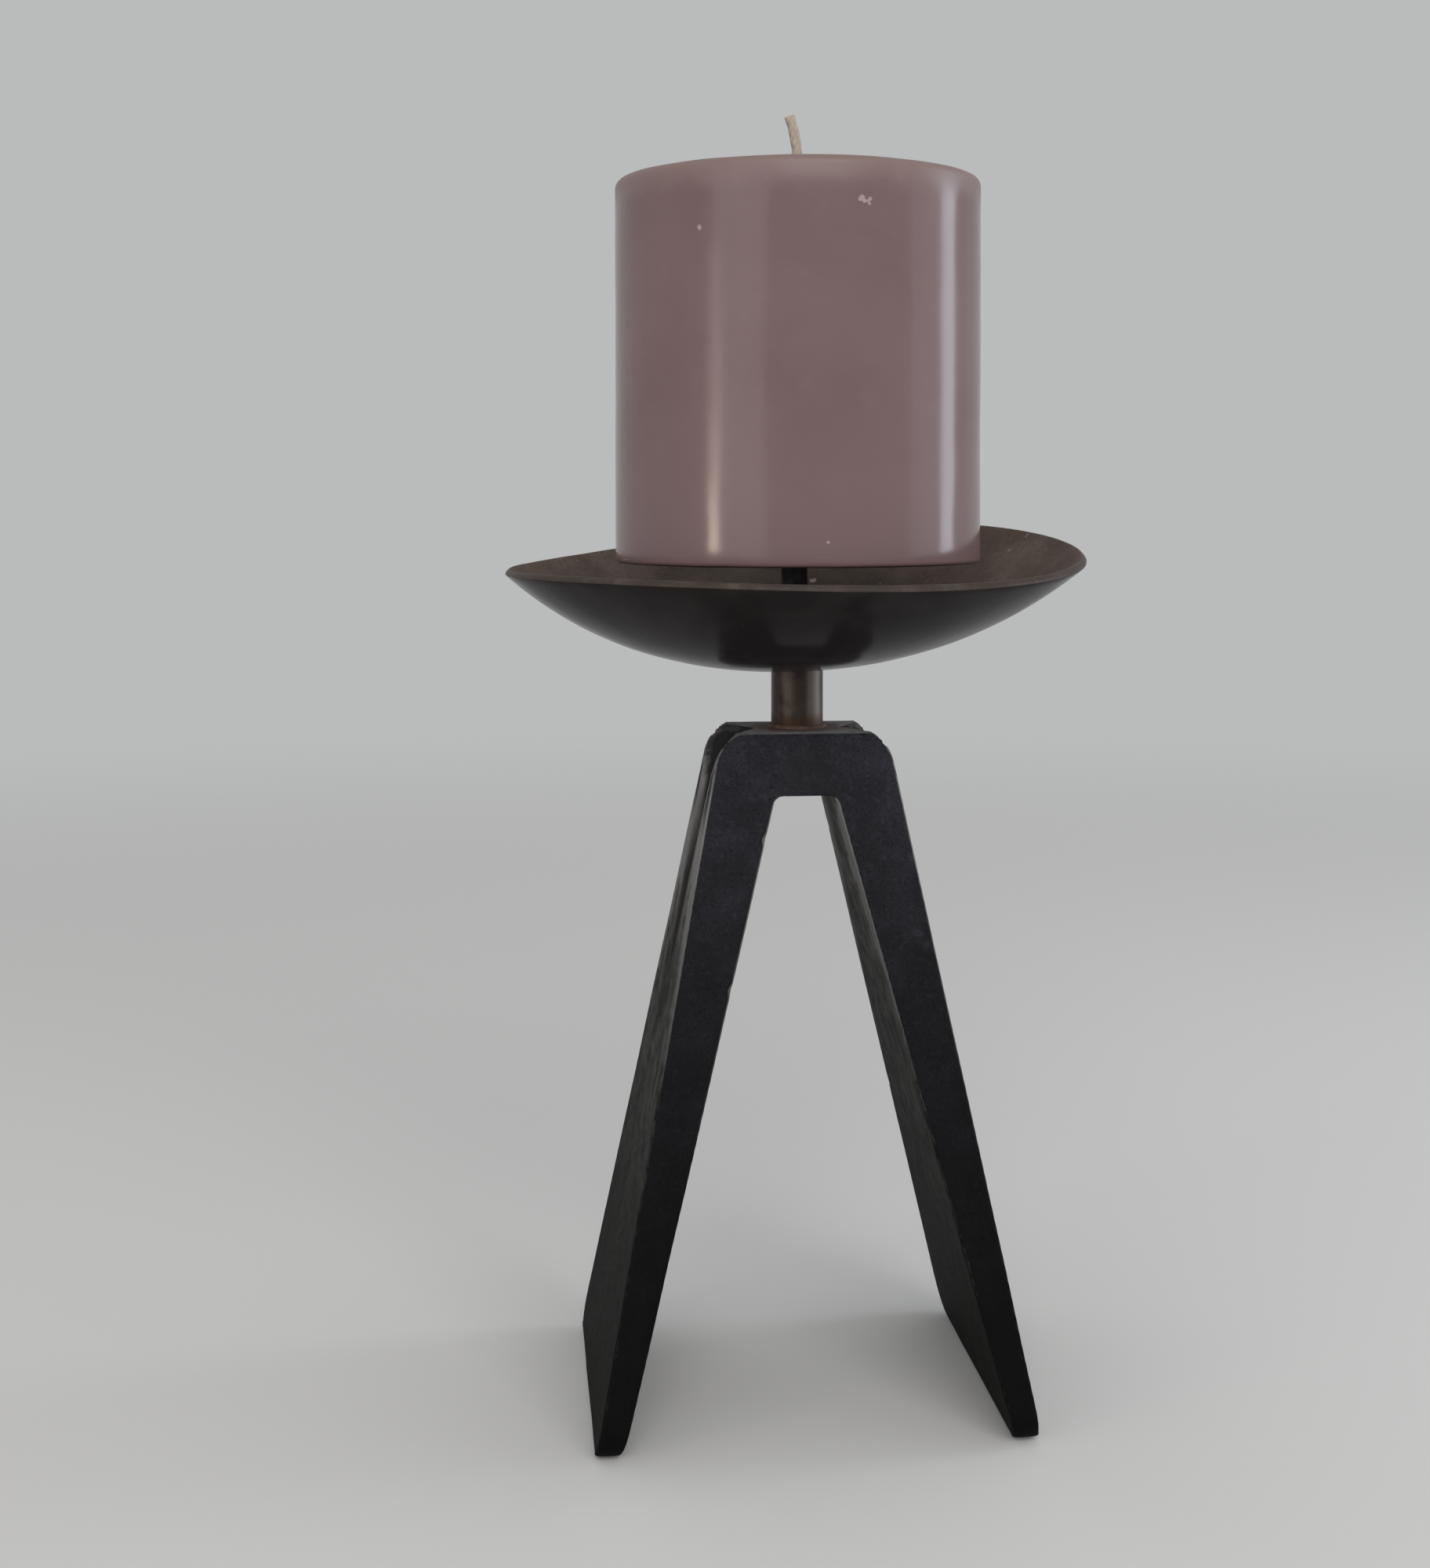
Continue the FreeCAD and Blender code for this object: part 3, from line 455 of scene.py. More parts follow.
def browned_bar(name):
    """Round bar, satin and browned by heat, with a painted highlight down its right side and a painted
    reflection that darkens its front.
    """
    finish = Finish(name)
    where, (x, y, z) = finish.place()
    patches = finish.noise(where, 260, 4, 0.6)
    drawn = finish.noise(finish.vector(x * 1400, y * 1400, z * 90), 1.0, 3)
    colour = finish.mix(finish.fade(patches, 0.35, 0.65), (0.035, 0.025, 0.0215), (0.066, 0.053, 0.047))
    colour = finish.mix(finish.fade(drawn, 0.5, 0.75) * 0.35, colour, (0.12, 0.1, 0.09))
    # Painted highlight down the stem's right side
    painted_highlight = finish.fade((x * STEM_HIGHLIGHT_SIDE.x + y * STEM_HIGHLIGHT_SIDE.y) / STEM_RADIUS, 0.88, 1.0)
    colour = finish.mix(painted_highlight * 0.37, colour, (0.2, 0.174, 0.16))
    # Painted reflection: the stem's front made darker
    painted_dark_reflection = finish.fade((x * STEM_DARK_REFLECTION_SIDE.x + y * STEM_DARK_REFLECTION_SIDE.y) / STEM_RADIUS, 0.93, 1.0)
    colour = finish.mix(painted_dark_reflection * 0.5, colour, (0.026, 0.019, 0.0205))
    heat = 1 - finish.fade(z, BRIDGE_TOP + 1.0 * MM, BRIDGE_TOP + 3.5 * MM)
    colour = finish.mix(heat * 0.6, colour, (0.075, 0.04, 0.024))
    return finish.shade(
        Base_Color=colour,
        Metallic=0.85,
        Roughness=0.3 + patches * 0.2 + heat * 0.15,
        Specular_IOR_Level=0.3,
        Normal=finish.bump(drawn * 0.5 + patches * 0.3, 0.05 * MM, 0.6),
    )


def rusted_bead(name):
    """Low weld bead gone rusty."""
    finish = Finish(name)
    where, _ = finish.place()
    crust = finish.noise(where, 1100, 5, 0.7)
    patches = finish.noise(where, 330, 3)
    colour = finish.mix(finish.fade(patches, 0.36, 0.6), (0.092, 0.056, 0.044), (0.16, 0.096, 0.071))
    colour = finish.mix(finish.fade(crust, 0.54, 0.72) * 0.5, colour, (0.19, 0.122, 0.09))
    return finish.shade(
        Base_Color=colour,
        Metallic=0.15,
        Roughness=0.6 + crust * 0.3,
        Specular_IOR_Level=0.3,
        Normal=finish.bump(crust, 0.22 * MM, 0.8),
    )


def dish_outside(name):
    """Smooth black lacquer, slightly brown, with dust and faint wiping marks."""
    finish = Finish(name)
    where, _ = finish.place()
    wiped = finish.noise(where, 55, 3, 0.55, 0.6)
    dust = finish.fade(finish.noise(where, 1300, 1), 0.74, 0.82)
    colour = finish.mix(finish.fade(wiped, 0.4, 0.7), (0.0165, 0.0144, 0.0144), (0.0245, 0.0214, 0.0214))
    colour = finish.mix(dust * 0.25, colour, (0.09, 0.085, 0.08))
    peel = finish.noise(where, 420, 2)
    return finish.shade(
        Base_Color=colour,
        Roughness=0.14 + finish.fade(wiped, 0.4, 0.75) * 0.07 + dust * 0.2,
        Specular_IOR_Level=0.025,
        Normal=finish.bump(peel, 0.035 * MM, 0.5),
    )


def dish_inside(name):
    """Dull brown-grey inside of the dish, speckled and dusty."""
    finish = Finish(name)
    where, _ = finish.place()
    clouds = finish.noise(where, 70, 5, 0.6)
    grain = finish.noise(where, 1100, 3, 0.6)
    flecks = finish.fade(finish.noise(where, 620, 1), 0.735, 0.78)
    colour = finish.mix(finish.fade(clouds, 0.35, 0.68), (0.1, 0.075, 0.062), (0.152, 0.119, 0.102))
    colour = finish.mix(finish.fade(grain, 0.58, 0.74) * 0.4, colour, (0.19, 0.152, 0.132))
    colour = finish.mix(finish.fade(grain, 0.42, 0.3) * 0.5, colour, (0.034, 0.025, 0.02))
    colour = finish.mix(flecks * 0.7, colour, (0.28, 0.25, 0.225))
    # A small pale spot on the inside beside the spike
    gap = finish.distance(where, DISH_FLECK)
    pale_spot = finish.fade(gap + (grain - 0.5) * 1.4 * MM, 0.85 * MM, 0.55 * MM)
    colour = finish.mix(pale_spot * 0.85, colour, (0.5, 0.46, 0.44))
    return finish.shade(
        Base_Color=colour,
        Roughness=0.55 + clouds * 0.25,
        Specular_IOR_Level=0.08,
        Normal=finish.bump(grain * 0.6 + clouds * 0.4, 0.1 * MM, 0.6),
    )


def dish_edge(name):
    """Rim of the dish, rubbed down to brown-grey and a little shinier than the inside."""
    finish = Finish(name)
    where, _ = finish.place()
    rubbed = finish.fade(finish.noise(where, 150, 4, 0.65), 0.45, 0.7)
    colour = finish.mix(rubbed, (0.05, 0.0385, 0.0335), (0.088, 0.069, 0.06))
    return finish.shade(
        Base_Color=colour,
        Metallic=rubbed * 0.15,
        Roughness=0.42 + rubbed * 0.1,
        Specular_IOR_Level=0.1,
        Normal=finish.bump(finish.noise(where, 900, 2), 0.04 * MM, 0.6),
    )


def spike_paint(name):
    """Thin black paint with drawn marks along the spike, worn towards the point."""
    finish = Finish(name)
    where, (x, y, z) = finish.place()
    drawn = finish.noise(finish.vector(x * 1800, y * 1800, z * 150), 1.0, 3)
    patches = finish.noise(where, 400, 4, 0.6)
    colour = finish.mix(finish.fade(patches, 0.4, 0.7), (0.034, 0.0375, 0.044), (0.078, 0.084, 0.095))
    worn = finish.fade(z + patches * 8 * MM, *WORN_SPIKE_HEIGHTS)
    colour = finish.mix(worn * 0.8, colour, (0.22, 0.21, 0.2))
    return finish.shade(
        Base_Color=colour,
        Metallic=worn * 0.8,
        Roughness=0.32 + patches * 0.2,
        Specular_IOR_Level=0.4,
        Normal=finish.bump(drawn, 0.04 * MM, 0.6),
    )


def mauve_wax(name):
    """Glossy mauve wax, paler along the top edge, painted lighter low down and with a thin painted shadow
    at the foot, with a chip high up and fine scuffs low down.
    """
    finish = Finish(name)
    where, (x, y, z) = finish.place()
    clouds = finish.noise(where, 38, 4, 0.55)
    mottle = finish.noise(where, 240, 3)
    grain = finish.noise(where, 1500, 2)
    colour = finish.mix(finish.fade(clouds, 0.35, 0.65), (0.168, 0.104, 0.107), (0.184, 0.117, 0.121))
    colour = finish.mix(finish.fade(mottle, 0.5, 0.8) * 0.2, colour, (0.212, 0.142, 0.145))
    paler = finish.fade(z + (mottle - 0.5) * 2.5 * MM, CANDLE_HIGH.z - 7 * MM, CANDLE_HIGH.z + 0.5 * MM)
    colour = finish.mix(paler * 0.5, colour, (0.27, 0.2, 0.178))
    # Painted light: the wax made lighter low down, where the dish shades it
    painted_light_low = 1 - finish.fade(z + (clouds - 0.5) * 8 * MM, CANDLE_LOW.z + 2 * MM, CANDLE_LOW.z + 34 * MM)
    colour = finish.mix(painted_light_low * 0.6, colour, (0.218, 0.143, 0.146))
    # Painted shadow: a thin darker line at the very foot of the candle
    from_foot = z - CANDLE_LOW.z + (mottle - 0.5) * 0.3 * MM
    foot_shadow = 1 - finish.fade(from_foot, 0.1 * MM, 0.45 * MM)
    colour = finish.mix(foot_shadow * 0.8, colour, (0.055, 0.023, 0.02))
    scuffs = finish.fade(finish.noise(finish.vector(x * 70, y * 70, z * 1700), 1.0, 2), 0.66, 0.76)
    scuffs = scuffs * (1 - finish.fade(z, CANDLE_LOW.z + 1.5 * MM, CANDLE_LOW.z + 4.5 * MM))
    colour = finish.mix(scuffs * 0.35, colour, (0.3, 0.225, 0.22))
    ragged = (grain - 0.5) * 0.8 * MM
    marks = None
    for spot, reach in WAX_MARKS:
        gap = finish.distance(where, spot)
        mark = finish.fade(gap + ragged, reach + 0.15 * MM, reach - 0.15 * MM)
        marks = mark if marks is None else mark.math("MAXIMUM", marks, mark)
    colour = finish.mix(marks * 0.8, colour, (0.4, 0.31, 0.305))
    return finish.shade(
        Base_Color=colour,
        Roughness=0.14 + clouds * 0.06 + scuffs * 0.2 + paler * 0.3 + marks * 0.3,
        Specular_IOR_Level=0.42,
        Subsurface_Weight=0.2,
        Subsurface_Radius=(1.0, 0.45, 0.4),
        Subsurface_Scale=1.6 * MM,
        Normal=finish.bump(mottle * 0.35 + scuffs * 0.5 + clouds * 0.8 - marks * 3, 0.05 * MM, 0.6),
    )


def wick_cotton(name):
    """Waxed cream cotton with fine fibres, a little darker low down where wax has soaked in."""
    finish = Finish(name)
    where, (x, y, z) = finish.place()
    fibres = finish.noise(finish.vector(x * 4200, y * 4200, z * 900), 1.0, 3)
    colour = finish.mix(finish.fade(fibres, 0.3, 0.7), (0.37, 0.305, 0.235), (0.5, 0.43, 0.35))
    soaked = 1 - finish.fade(z, CANDLE_HIGH.z + 0.2 * MM, CANDLE_HIGH.z + 2 * MM)
    colour = finish.mix(soaked * 0.4, colour, (0.3, 0.215, 0.19))
    return finish.shade(
        Base_Color=colour,
        Roughness=0.7 + fibres * 0.2,
        Specular_IOR_Level=0.25,
        Normal=finish.bump(fibres, 0.08 * MM, 0.7),
    )


# Forged legs and the seam between them
def edges_by_angle(piece, test):
    """Ends and face normals of the edges whose signed angle the test accepts; hollows are negative."""
    mesh = bmesh.new()
    mesh.from_mesh(piece.data)
    shared = [edge for edge in mesh.edges if len(edge.link_faces) == 2]
    found = [edge for edge in shared if test(edge.calc_face_angle_signed())]
    ends = np.array([[tuple(corner.co) for corner in edge.verts] for edge in found])
    facings = np.array([[tuple(face.normal) for face in edge.link_faces] for edge in found])
    mesh.free()
    return ends, facings


def mesh_points(piece):
    points = np.empty(len(piece.data.vertices) * 3)
    piece.data.vertices.foreach_get("co", points)
    return points.reshape(-1, 3)


def mark_distance(piece, name, ends):
    """Writes how far each point is from the nearest edge, and gives the distances and those edges back."""
    points = mesh_points(piece)
    nearest = np.full(len(points), 1.0)
    closest = np.zeros(len(points), dtype=int)
    for index, (start, end) in enumerate(ends):
        along = end - start
        share = np.clip((points - start) @ along / (along @ along), 0, 1)
        gap = np.linalg.norm(points - start - share[:, None] * along, axis=1)
        closer = gap < nearest
        nearest[closer] = gap[closer]
        closest[closer] = index
    attribute = piece.data.attributes.new(name, "FLOAT", "POINT")
    attribute.data.foreach_set("value", nearest.astype(np.float32))
    return nearest, closest


def dots(first, second):
    return np.sum(first * second, axis=1, keepdims=True)


def round_edges(piece, ends, facings, distances):
    """Sets the points along the sharp edges on one even round, so that the edges run straight."""
    points = mesh_points(piece)
    start = ends[:, 0]
    along = ends[:, 1] - start
    along = along / np.linalg.norm(along, axis=1, keepdims=True)
    first = facings[:, 0]
    second = facings[:, 1]
    cosine = dots(first, second)
    run = start + dots(points - start, along) * along
    axis = run - EDGE_ROUND / (1 + cosine) * (first + second)
    out = points - axis
    past_first = dots(out, first)
    past_second = dots(out, second)
    between = (past_first > cosine * past_second) & (past_second > cosine * past_first)
    rounded = axis + EDGE_ROUND * out / np.linalg.norm(out, axis=1, keepdims=True)
    points = np.where(between & (distances[:, None] < EDGE_REACH), rounded, points)
    piece.data.vertices.foreach_set("co", points.ravel())
    piece.data.update()


def group_edges(piece, distances):
    """Collects the points near the edges in a group, weighted by how close they are."""
    closeness = np.clip(1 - distances / EDGE_REACH, 0, 1)
    group = piece.vertex_groups.new(name="edges")
    for step in range(1, 11):
        chosen = np.nonzero(np.ceil(closeness * 10) == step)[0]
        group.add(chosen.tolist(), step / 10, "REPLACE")


def notch_place(side, face, height):
    """Where a leg's inner edge is at a height; side -1 is the left leg, and face -1 the front."""
    inner = FOOT_INNER + (GAP_HALF - FOOT_INNER) * height / GAP_TOP
    depth = FOOT_DEPTH_HALF + (TOP_DEPTH_HALF - FOOT_DEPTH_HALF) * height / BRIDGE_TOP
    return Vector((side * inner, face * depth, height))


def is_on_seam(middle, normal):
    """Whether a face lies where a leg and the seam touch."""
    return abs(abs(middle.x) - SEAM_HALF) < SAME_PLACE and abs(normal.x) > 0.99


def forged_blank():
    """The two legs and their seam as one skin, with forging waves and small notches in the edges."""
    nodes = ("bridge_weld", "left_leg", "right_leg")
    parts = [copy_mesh(frame["nodes"][node], "blank_" + node) for node in nodes]
    activate(parts[0])
    for part in parts:
        part.select_set(True)
    bpy.ops.object.join()
    blank = parts[0]
    edit(blank)
    bpy.ops.mesh.remove_doubles(threshold=SAME_POINT)
    pick_faces(blank, is_on_seam)
    bpy.ops.mesh.delete(type="FACE")
    leave_edit()
    edges, facings = edges_by_angle(blank, lambda angle: angle > EDGE_ANGLE)
    creases, _ = edges_by_angle(blank, lambda angle: angle < -EDGE_ANGLE)
    voxel = 0.5 * MM
    apply_modifier(blank, "REMESH", "Even skin", mode="VOXEL", voxel_size=voxel)
    distances, closest = mark_distance(blank, "from_edge", edges)
    mark_distance(blank, "from_crease", creases)
    group_edges(blank, distances)
    round_edges(blank, edges[closest], facings[closest], distances)
    roughen(blank, "Forging waves", grain=18 * MM, depth=0.2 * MM)
    roughen(
        blank, "Uneven edges", grain=9 * MM, depth=-0.14 * MM, group="edges", contrast=1.6, middle=0.3,
    )
    notches = [(side, notch_place(side, face, height)) for side, face, height in NOTCHES]

    def notched(point):
        for side, place in notches:
            near = max(0.0, 1 - (point - place).length / NOTCH_REACH)
            point.x += side * NOTCH_DEPTH * near
        if point.z < FLOOR_FLAT:
            point.z = 0.0
        return point

    move_points(blank, notched)
    return blank


def cut_from(blank, name, cuts):
    """A copy of the blank, cut through at each place, keeping the side named with it."""
    piece = copy_mesh(blank, name)
    for place, keep in cuts:
        edit(piece)
        bpy.ops.mesh.bisect(
            plane_co=(place, 0, 0), plane_no=(1, 0, 0), use_fill=True,
            clear_inner=keep == "right", clear_outer=keep == "left",
        )
        face_outwards()
        leave_edit()
    return piece


def forged_legs():
    blank = forged_blank()
    scale = forged_scale("mill_scale", dressed=False)
    left = cut_from(blank, "left_leg_forged", [(-SEAM_HALF, "left")])
    settle(left, left.name, "holder", [scale], ["left_leg"])
    right = cut_from(blank, "right_leg_forged", [(SEAM_HALF, "right")])
    settle(right, right.name, "holder", [scale], ["right_leg"])
    seam = cut_from(blank, "bridge_weld_dressed", [(-SEAM_HALF, "right"), (SEAM_HALF, "left")])
    ground_scale = forged_scale("dressed_seam", dressed=True)
    settle(seam, seam.name, "holder", [ground_scale], ["bridge_weld"])
    bpy.data.objects.remove(blank)


def stem_weld():
    """Low weld bead round the foot of the stem, in soft ripples."""
    bead = start_from(
        bpy.ops.mesh.primitive_circle_add, vertices=16, radius=WELD_RADIUS,
        location=(STEM_RADIUS, 0, BRIDGE_TOP + WELD_LIFT), rotation=(math.pi / 2, 0, 0),
    )
    edit(bead)
    bpy.ops.mesh.spin(steps=208, angle=2 * math.pi, center=(0, 0, 0), axis=(0, 0, 1))
    bpy.ops.mesh.select_all(action="SELECT")
    bpy.ops.mesh.remove_doubles(threshold=5 * SAME_POINT)
    face_outwards()
    leave_edit()

    def rippled(point):
        turn = math.atan2(point.y, point.x) / (2 * math.pi)
        ripple = abs(math.sin(math.pi * WELD_RIPPLES * turn + 0.4 * math.sin(6 * math.pi * turn)))
        swell = 0.9 + 0.14 * ripple + 0.08 * math.sin(2 * math.pi * (turn * 3 + 0.2))
        radius = math.hypot(point.x, point.y)
        root = STEM_RADIUS - WELD_ROOT
        out = root + (radius - root) * swell
        up = max((point.z - BRIDGE_TOP) * swell, -WELD_SUNK)
        return Vector((point.x * out / radius, point.y * out / radius, BRIDGE_TOP + up))

    move_points(bead, rippled)
    roughen(bead, "Weld crust", grain=1.6 * MM, depth=0.14 * MM)
    settle(bead, "stem_weld_bead", "holder", [rusted_bead("rusted_bead")], ["stem_weld"])


# Drip dish
def is_rim_edge(a, b):
    """Whether an edge runs along the dish's rim, outside or inside."""
    level = abs(a.z - b.z) < SAME_POINT
    outside = abs(a.z - DISH_DEPTH) < SAME_PLACE
    share = (DISH_CURVE - DISH_SHEET) / DISH_CURVE
    inner_height = DISH_CURVE_CENTRE + (DISH_DEPTH - DISH_CURVE_CENTRE) * share
    inside = abs(a.z - inner_height) < 6 * SAME_PLACE
    far_out = math.hypot(a.x, a.y) > RIM_RADIUS - 2 * DISH_SHEET
    return level and far_out and (outside or inside)


def drip_dish():
    """Cap of a ball with a flat seat and a hole, given thickness, a soft rim, a belly and a warp."""
    dish = start_from(
        bpy.ops.mesh.primitive_uv_sphere_add, segments=192, ring_count=128, radius=DISH_CURVE,
        location=(0, 0, DISH_CURVE_CENTRE),
    )
    edit(dish)
    bpy.ops.mesh.bisect(plane_co=(0, 0, DISH_DEPTH), plane_no=(0, 0, 1), clear_outer=True)
    bpy.ops.mesh.select_all(action="SELECT")
    bpy.ops.mesh.bisect(plane_co=(0, 0, 0), plane_no=(0, 0, 1), clear_inner=True, use_fill=True)
    pick_faces(dish, lambda middle, normal: middle.z < SAME_POINT and abs(normal.z) > 0.999)
    bpy.ops.mesh.inset(thickness=DISH_SEAT - DISH_HOLE)
    bpy.ops.mesh.delete(type="FACE")
    face_outwards()
    leave_edit()
    if max(dish.data.polygons, key=lambda face: face.center.z).normal.z > 0:
        edit(dish)
        bpy.ops.mesh.flip_normals()
        leave_edit()
    for _ in range(3):
        dish.data.materials.append(None)
    apply_modifier(
        dish, "SOLIDIFY", "Sheet", thickness=DISH_SHEET, offset=-1.0, use_even_offset=True,
        material_offset=1, material_offset_rim=2,
    )
    edit(dish)
    pick_edges(dish, is_rim_edge)
    bpy.ops.mesh.bevel(offset=RIM_ROUND, segments=3, affect="EDGES")
    leave_edit()

    def warped(point):
        reach = math.hypot(point.x, point.y) / RIM_RADIUS
        bearing = math.atan2(point.y, point.x)
        warp = RIM_WARP * reach ** 3 * math.cos(2 * (bearing - RIM_WARP_BEARING))
        fullness = BELLY_PEAK * reach ** 2 * max(0.0, 1 - reach)
        belly = BELLY * fullness * (0.6 - 0.4 * math.cos(bearing))
        return point + Vector((0, 0, warp - belly))

    move_points(dish, warped)
    roughen(dish, "Beaten sheet", grain=26 * MM, depth=0.35 * MM)
    lean_on_seat(dish)
    finishes = [dish_outside("dish_lacquer"), dish_inside("dish_inside"), dish_edge("dish_rim")]
    keep = [face.material_index for face in dish.data.polygons]
    settle(dish, "drip_dish_sheet", "holder", finishes, ["drip_dish"], angle=40)
    dish.data.polygons.foreach_set("material_index", keep)


# Candle and wick
def spike_hole():
    """The shape that the leaning spike leaves in the wax."""
    shank = SPIKE_HOLE_END - SPIKE_POINT
    hole = start_from(
        bpy.ops.mesh.primitive_cylinder_add, vertices=48, radius=SPIKE_HOLE_RADIUS, depth=shank,
        location=(0, 0, shank / 2),
    )
    edit(hole)
    pick_faces(hole, lambda middle, normal: normal.z > 0.9)
    bpy.ops.mesh.extrude_region_move(TRANSFORM_OT_translate={"value": (0, 0, SPIKE_POINT)})
    bpy.ops.transform.resize(value=(SPIKE_HOLE_TIP / SPIKE_HOLE_RADIUS,) * 2 + (1,))
    leave_edit()
    lean_on_seat(hole)
    return hole


def candle():
    """Pillar candle with rounded ends, a shallow dip round the wick and the spike's hole underneath."""
    height = CANDLE_HIGH.z - CANDLE_LOW.z
    wax = start_from(
        bpy.ops.mesh.primitive_cylinder_add, vertices=160, radius=CANDLE_RADIUS, depth=height,
        location=(0, 0, CANDLE_LOW.z + height / 2),
    )
    edit(wax)
    pick_edges(wax, lambda a, b: min(a.z, b.z) > CANDLE_HIGH.z - SAME_PLACE)
    bpy.ops.mesh.bevel(offset=CANDLE_TOP_ROUND, segments=5, affect="EDGES")
    pick_edges(wax, lambda a, b: max(a.z, b.z) < CANDLE_LOW.z + SAME_PLACE)
    bpy.ops.mesh.bevel(offset=CANDLE_BASE_ROUND, segments=5, affect="EDGES")
    pick_faces(wax, lambda middle, normal: normal.z > 0.99 and middle.z > CANDLE_HIGH.z - SAME_PLACE)
    for inset, drop in WICK_DIP:
        bpy.ops.mesh.inset(thickness=inset)
        bpy.ops.transform.translate(value=(0, 0, -drop))
    straight = height - CANDLE_BASE_ROUND - CANDLE_TOP_ROUND
    for step in range(1, CANDLE_BANDS):
        level = CANDLE_LOW.z + CANDLE_BASE_ROUND + step * straight / CANDLE_BANDS
        bpy.ops.mesh.select_all(action="SELECT")
        bpy.ops.mesh.bisect(plane_co=(0, 0, level), plane_no=(0, 0, 1))
    leave_edit()
    roughen(wax, "Cast waves", grain=22 * MM, depth=0.3 * MM)
    hole = spike_hole()
    apply_modifier(wax, "BOOLEAN", "Spike hole", operation="DIFFERENCE", solver="EXACT", object=hole)
    bpy.data.objects.remove(hole)
    settle(wax, "candle_pillar", "candle", [mauve_wax("mauve_wax")], ["candle_wax"], angle=35)


def wick_path(length):
    """Middle of the wick at a length from its buried end, and the direction it runs in there."""
    straight = WICK_BEND_FROM - WICK_LOW
    if length <= straight:
        return Vector((0, 0, WICK_LOW + length)), Vector((0, 0, 1))
    turn = (length - straight) / WICK_BEND
    middle = Vector((-WICK_BEND * (1 - math.cos(turn)), 0, WICK_BEND_FROM + WICK_BEND * math.sin(turn)))
    return middle, Vector((-math.sin(turn), 0, math.cos(turn)))


def wick():
    """Waxed wick: a ring drawn out along its path, with the low relief of a tight braid."""
    whole = WICK_BEND_FROM - WICK_LOW + WICK_BEND * WICK_BEND_ANGLE
    steps = 150
    cord = start_from(
        bpy.ops.mesh.primitive_circle_add, vertices=36, radius=WICK_RADIUS, fill_type="NGON",
        location=(0, 0, WICK_LOW),
    )
    edit(cord)
    for _ in range(steps):
        bpy.ops.mesh.extrude_region_move(TRANSFORM_OT_translate={"value": (0, 0, whole / steps)})
    face_outwards()
    leave_edit()

    def braided(point):
        length = point.z - WICK_LOW
        turn = math.atan2(point.y, point.x)
        rise = 2 * math.pi * length / BRAID_PITCH
        relief = max(math.sin(2 * turn + rise), math.sin(-2 * turn + rise + 1.2))
        out = math.hypot(point.x, point.y) / WICK_RADIUS * (WICK_RADIUS - BRAID_RELIEF * (1 - relief))
        middle, along = wick_path(min(length, whole - WICK_END_GAP))
        across = Vector((0, 1, 0)).cross(along)
        return middle + across * (out * math.cos(turn)) + Vector((0, out * math.sin(turn), 0))

    move_points(cord, braided)
    settle(cord, "wick_braid", "candle", [wick_cotton("wick_cotton")], ["wick"])


def dress_bare_nodes():
    """Finishes for the pieces whose own solid already has the right shape."""
    bar = browned_bar("browned_bar")
    paint = spike_paint("spike_paint")
    for node, material in (("stem", bar), ("spike", paint), ("spike_nut", paint)):
        finishes = frame["nodes"][node].data.materials
        finishes.clear()
        finishes.append(material)


# Floor, light and camera
def plain_finish(name, colour):
    """Matt pale finish of the floor, which fades into the background far from the object."""
    finish = Finish(name)
    where, (x, y, _) = finish.place()
    soft = finish.noise(where, 3.0, 2)
    shade = finish.mix(soft * 0.3, colour, tuple(part * 0.97 for part in colour))
    finish.shade(Base_Color=shade, Roughness=0.85, Specular_IOR_Level=0.1)
    gone = finish.fade((x * x + y * y) ** 0.5, *FLOOR_FADE)
    clear = finish.node("BsdfTransparent")
    matt = Value(finish, finish.shader.outputs[0])
    blended = finish.node("MixShader", None, {0: gone, 1: matt, 2: clear})
    finish.feed(finish.tree.nodes["Material Output"].inputs["Surface"], blended)
    return finish.material


def floor():
    deselect()
    bpy.ops.mesh.primitive_circle_add(
        vertices=96, radius=FLOOR_RADIUS, fill_type="NGON", location=(0, 0, 0),
    )
    ground = bpy.context.object
    ground.name = "floor"
    ground.data.materials.append(plain_finish("pale_floor", (0.7, 0.695, 0.685)))


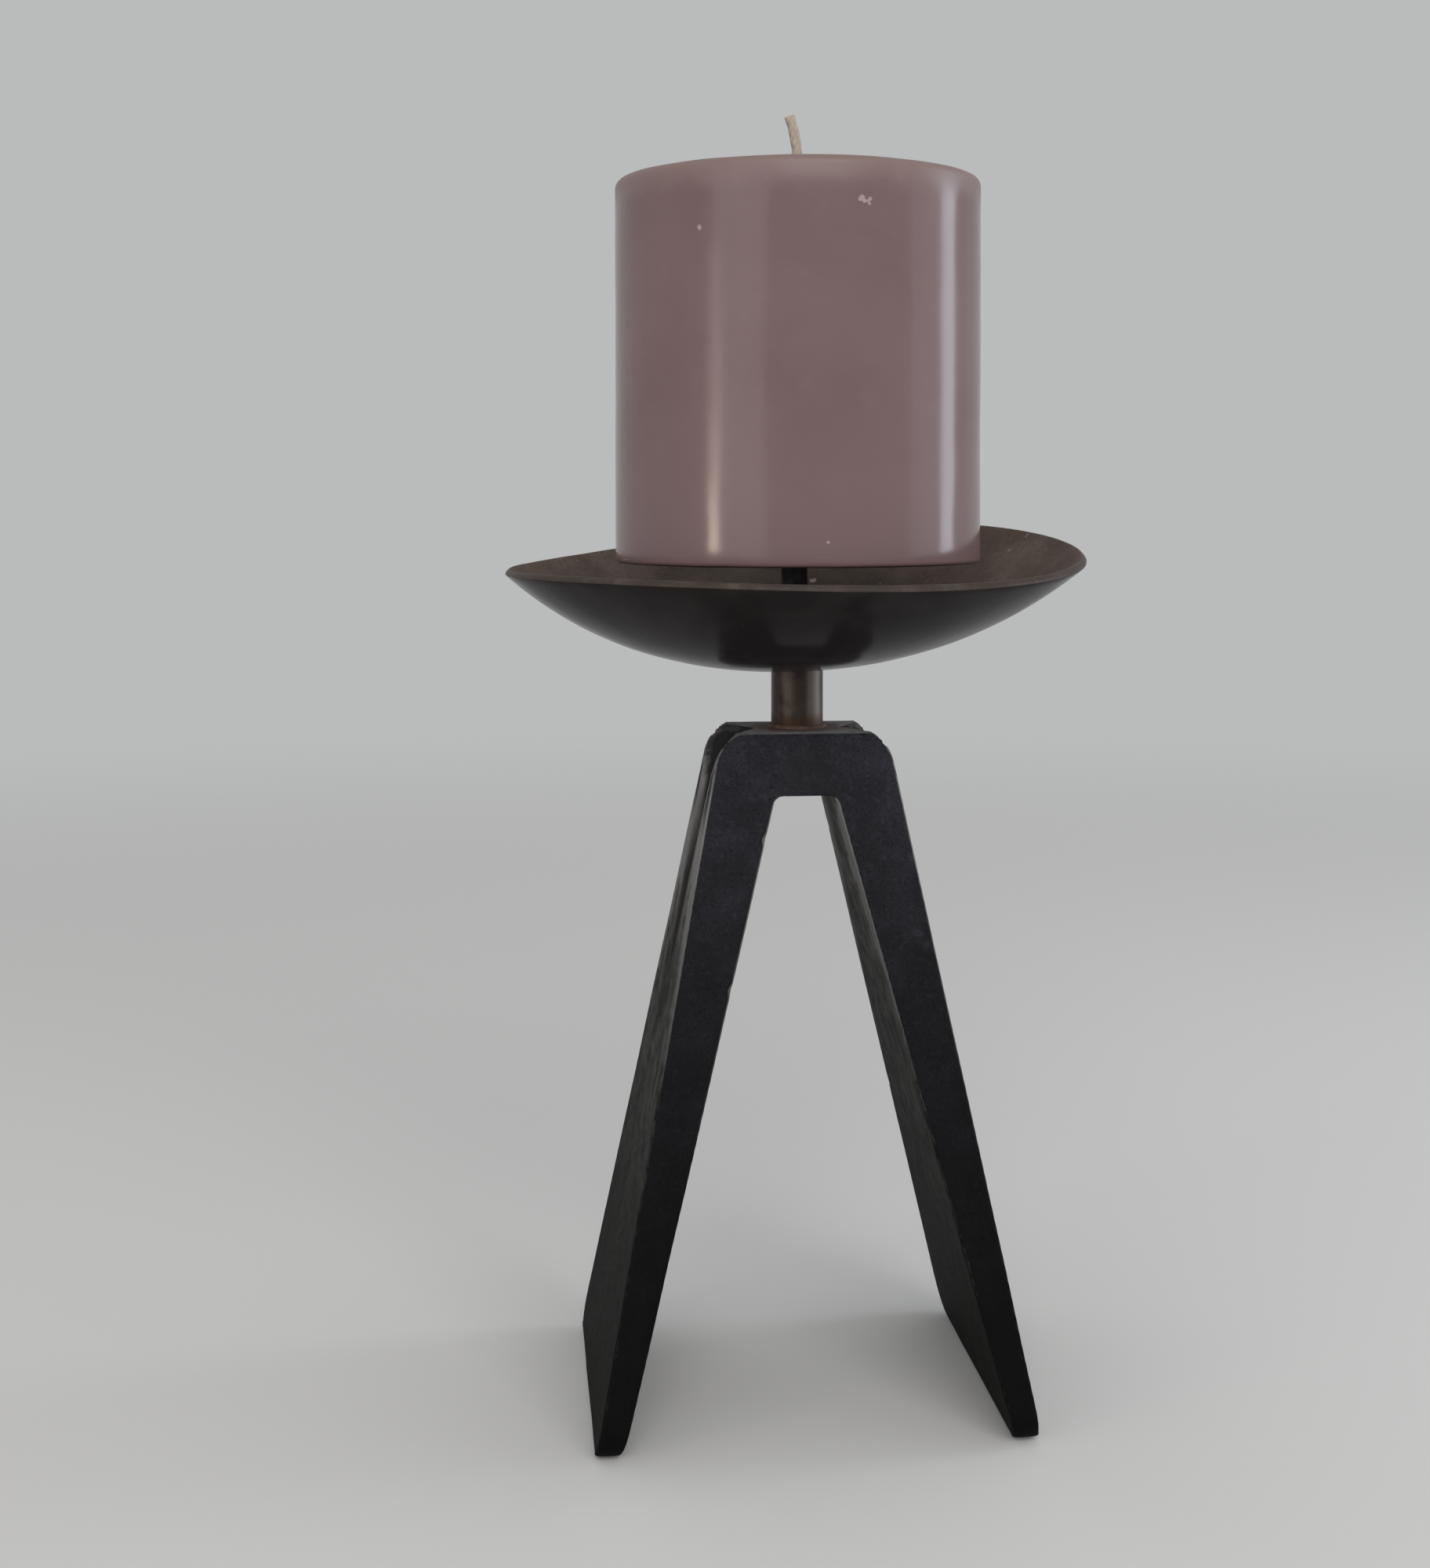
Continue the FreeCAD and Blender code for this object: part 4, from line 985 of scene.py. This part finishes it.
def softbox(name, place, width, height, power, colour):
    """Rectangular lamp that faces the candle."""
    data = bpy.data.lights.new(name, "AREA")
    data.shape = "RECTANGLE"
    data.size = width
    data.size_y = height
    data.energy = power
    data.color = colour
    lamp = bpy.data.objects.new(name, data)
    bpy.context.scene.collection.objects.link(lamp)
    lamp.location = place
    aim = LAMP_AIM - lamp.location
    lamp.rotation_euler = aim.to_track_quat("-Z", "Y").to_euler()
    lamp.visible_camera = False


def round_place(bearing, distance, height):
    """A place round the candle; bearing 0 is towards the camera, and positive to its right."""
    angle = math.radians(bearing) + math.atan2(EYE.x, -EYE.y)
    return Vector((math.sin(angle) * distance, -math.cos(angle) * distance, height))


def light():
    world = bpy.data.worlds.new("studio")
    bpy.context.scene.world = world
    world.use_nodes = True
    sky = world.node_tree.nodes["Background"]
    sky.inputs["Color"].default_value = (0.985, 0.995, 1.0, 1.0)
    sky.inputs["Strength"].default_value = 0.5
    softbox("right_strip", round_place(105, 0.8, 0.27), 0.2, 0.6, 1.55, (0.84, 0.92, 1.0))
    softbox("right_panel", round_place(84, 1.0, 0.3), 0.42, 0.8, 0.7, (0.95, 0.98, 1.0))
    softbox("low_warm", round_place(-51, 0.9, 0.135), 0.11, 0.09, 0.4, (1.0, 0.83, 0.66))
    softbox("high_warm", round_place(-51, 0.9, 0.24), 0.14, 0.14, 0.1, (1.0, 0.88, 0.76))
    softbox("left_fill", round_place(-35, 1.2, 0.3), 0.7, 0.9, 1.7, (0.97, 0.97, 1.0))
    softbox("front_top", Vector((0.1, -1.1, 0.85)), 1.1, 0.7, 8.0, (1.0, 0.985, 0.965))


def camera():
    data = bpy.data.cameras.new("camera")
    data.sensor_fit = "HORIZONTAL"
    data.sensor_width = SENSOR_WIDTH
    data.lens = FOCAL_PIXELS / IMAGE_WIDTH * SENSOR_WIDTH
    data.shift_y = (OPTICAL_CENTRE_Y - IMAGE_HEIGHT / 2) / IMAGE_WIDTH
    data.clip_start = 0.01
    eye = bpy.data.objects.new("camera", data)
    bpy.context.scene.collection.objects.link(eye)
    eye.location = EYE
    eye.rotation_euler = (math.pi / 2 - PITCH, 0, -HEADING)
    bpy.context.scene.camera = eye


forged_legs()
stem_weld()
drip_dish()
candle()
wick()
dress_bare_nodes()
floor()
light()
camera()
bpy.context.scene.view_settings.view_transform = "Standard"
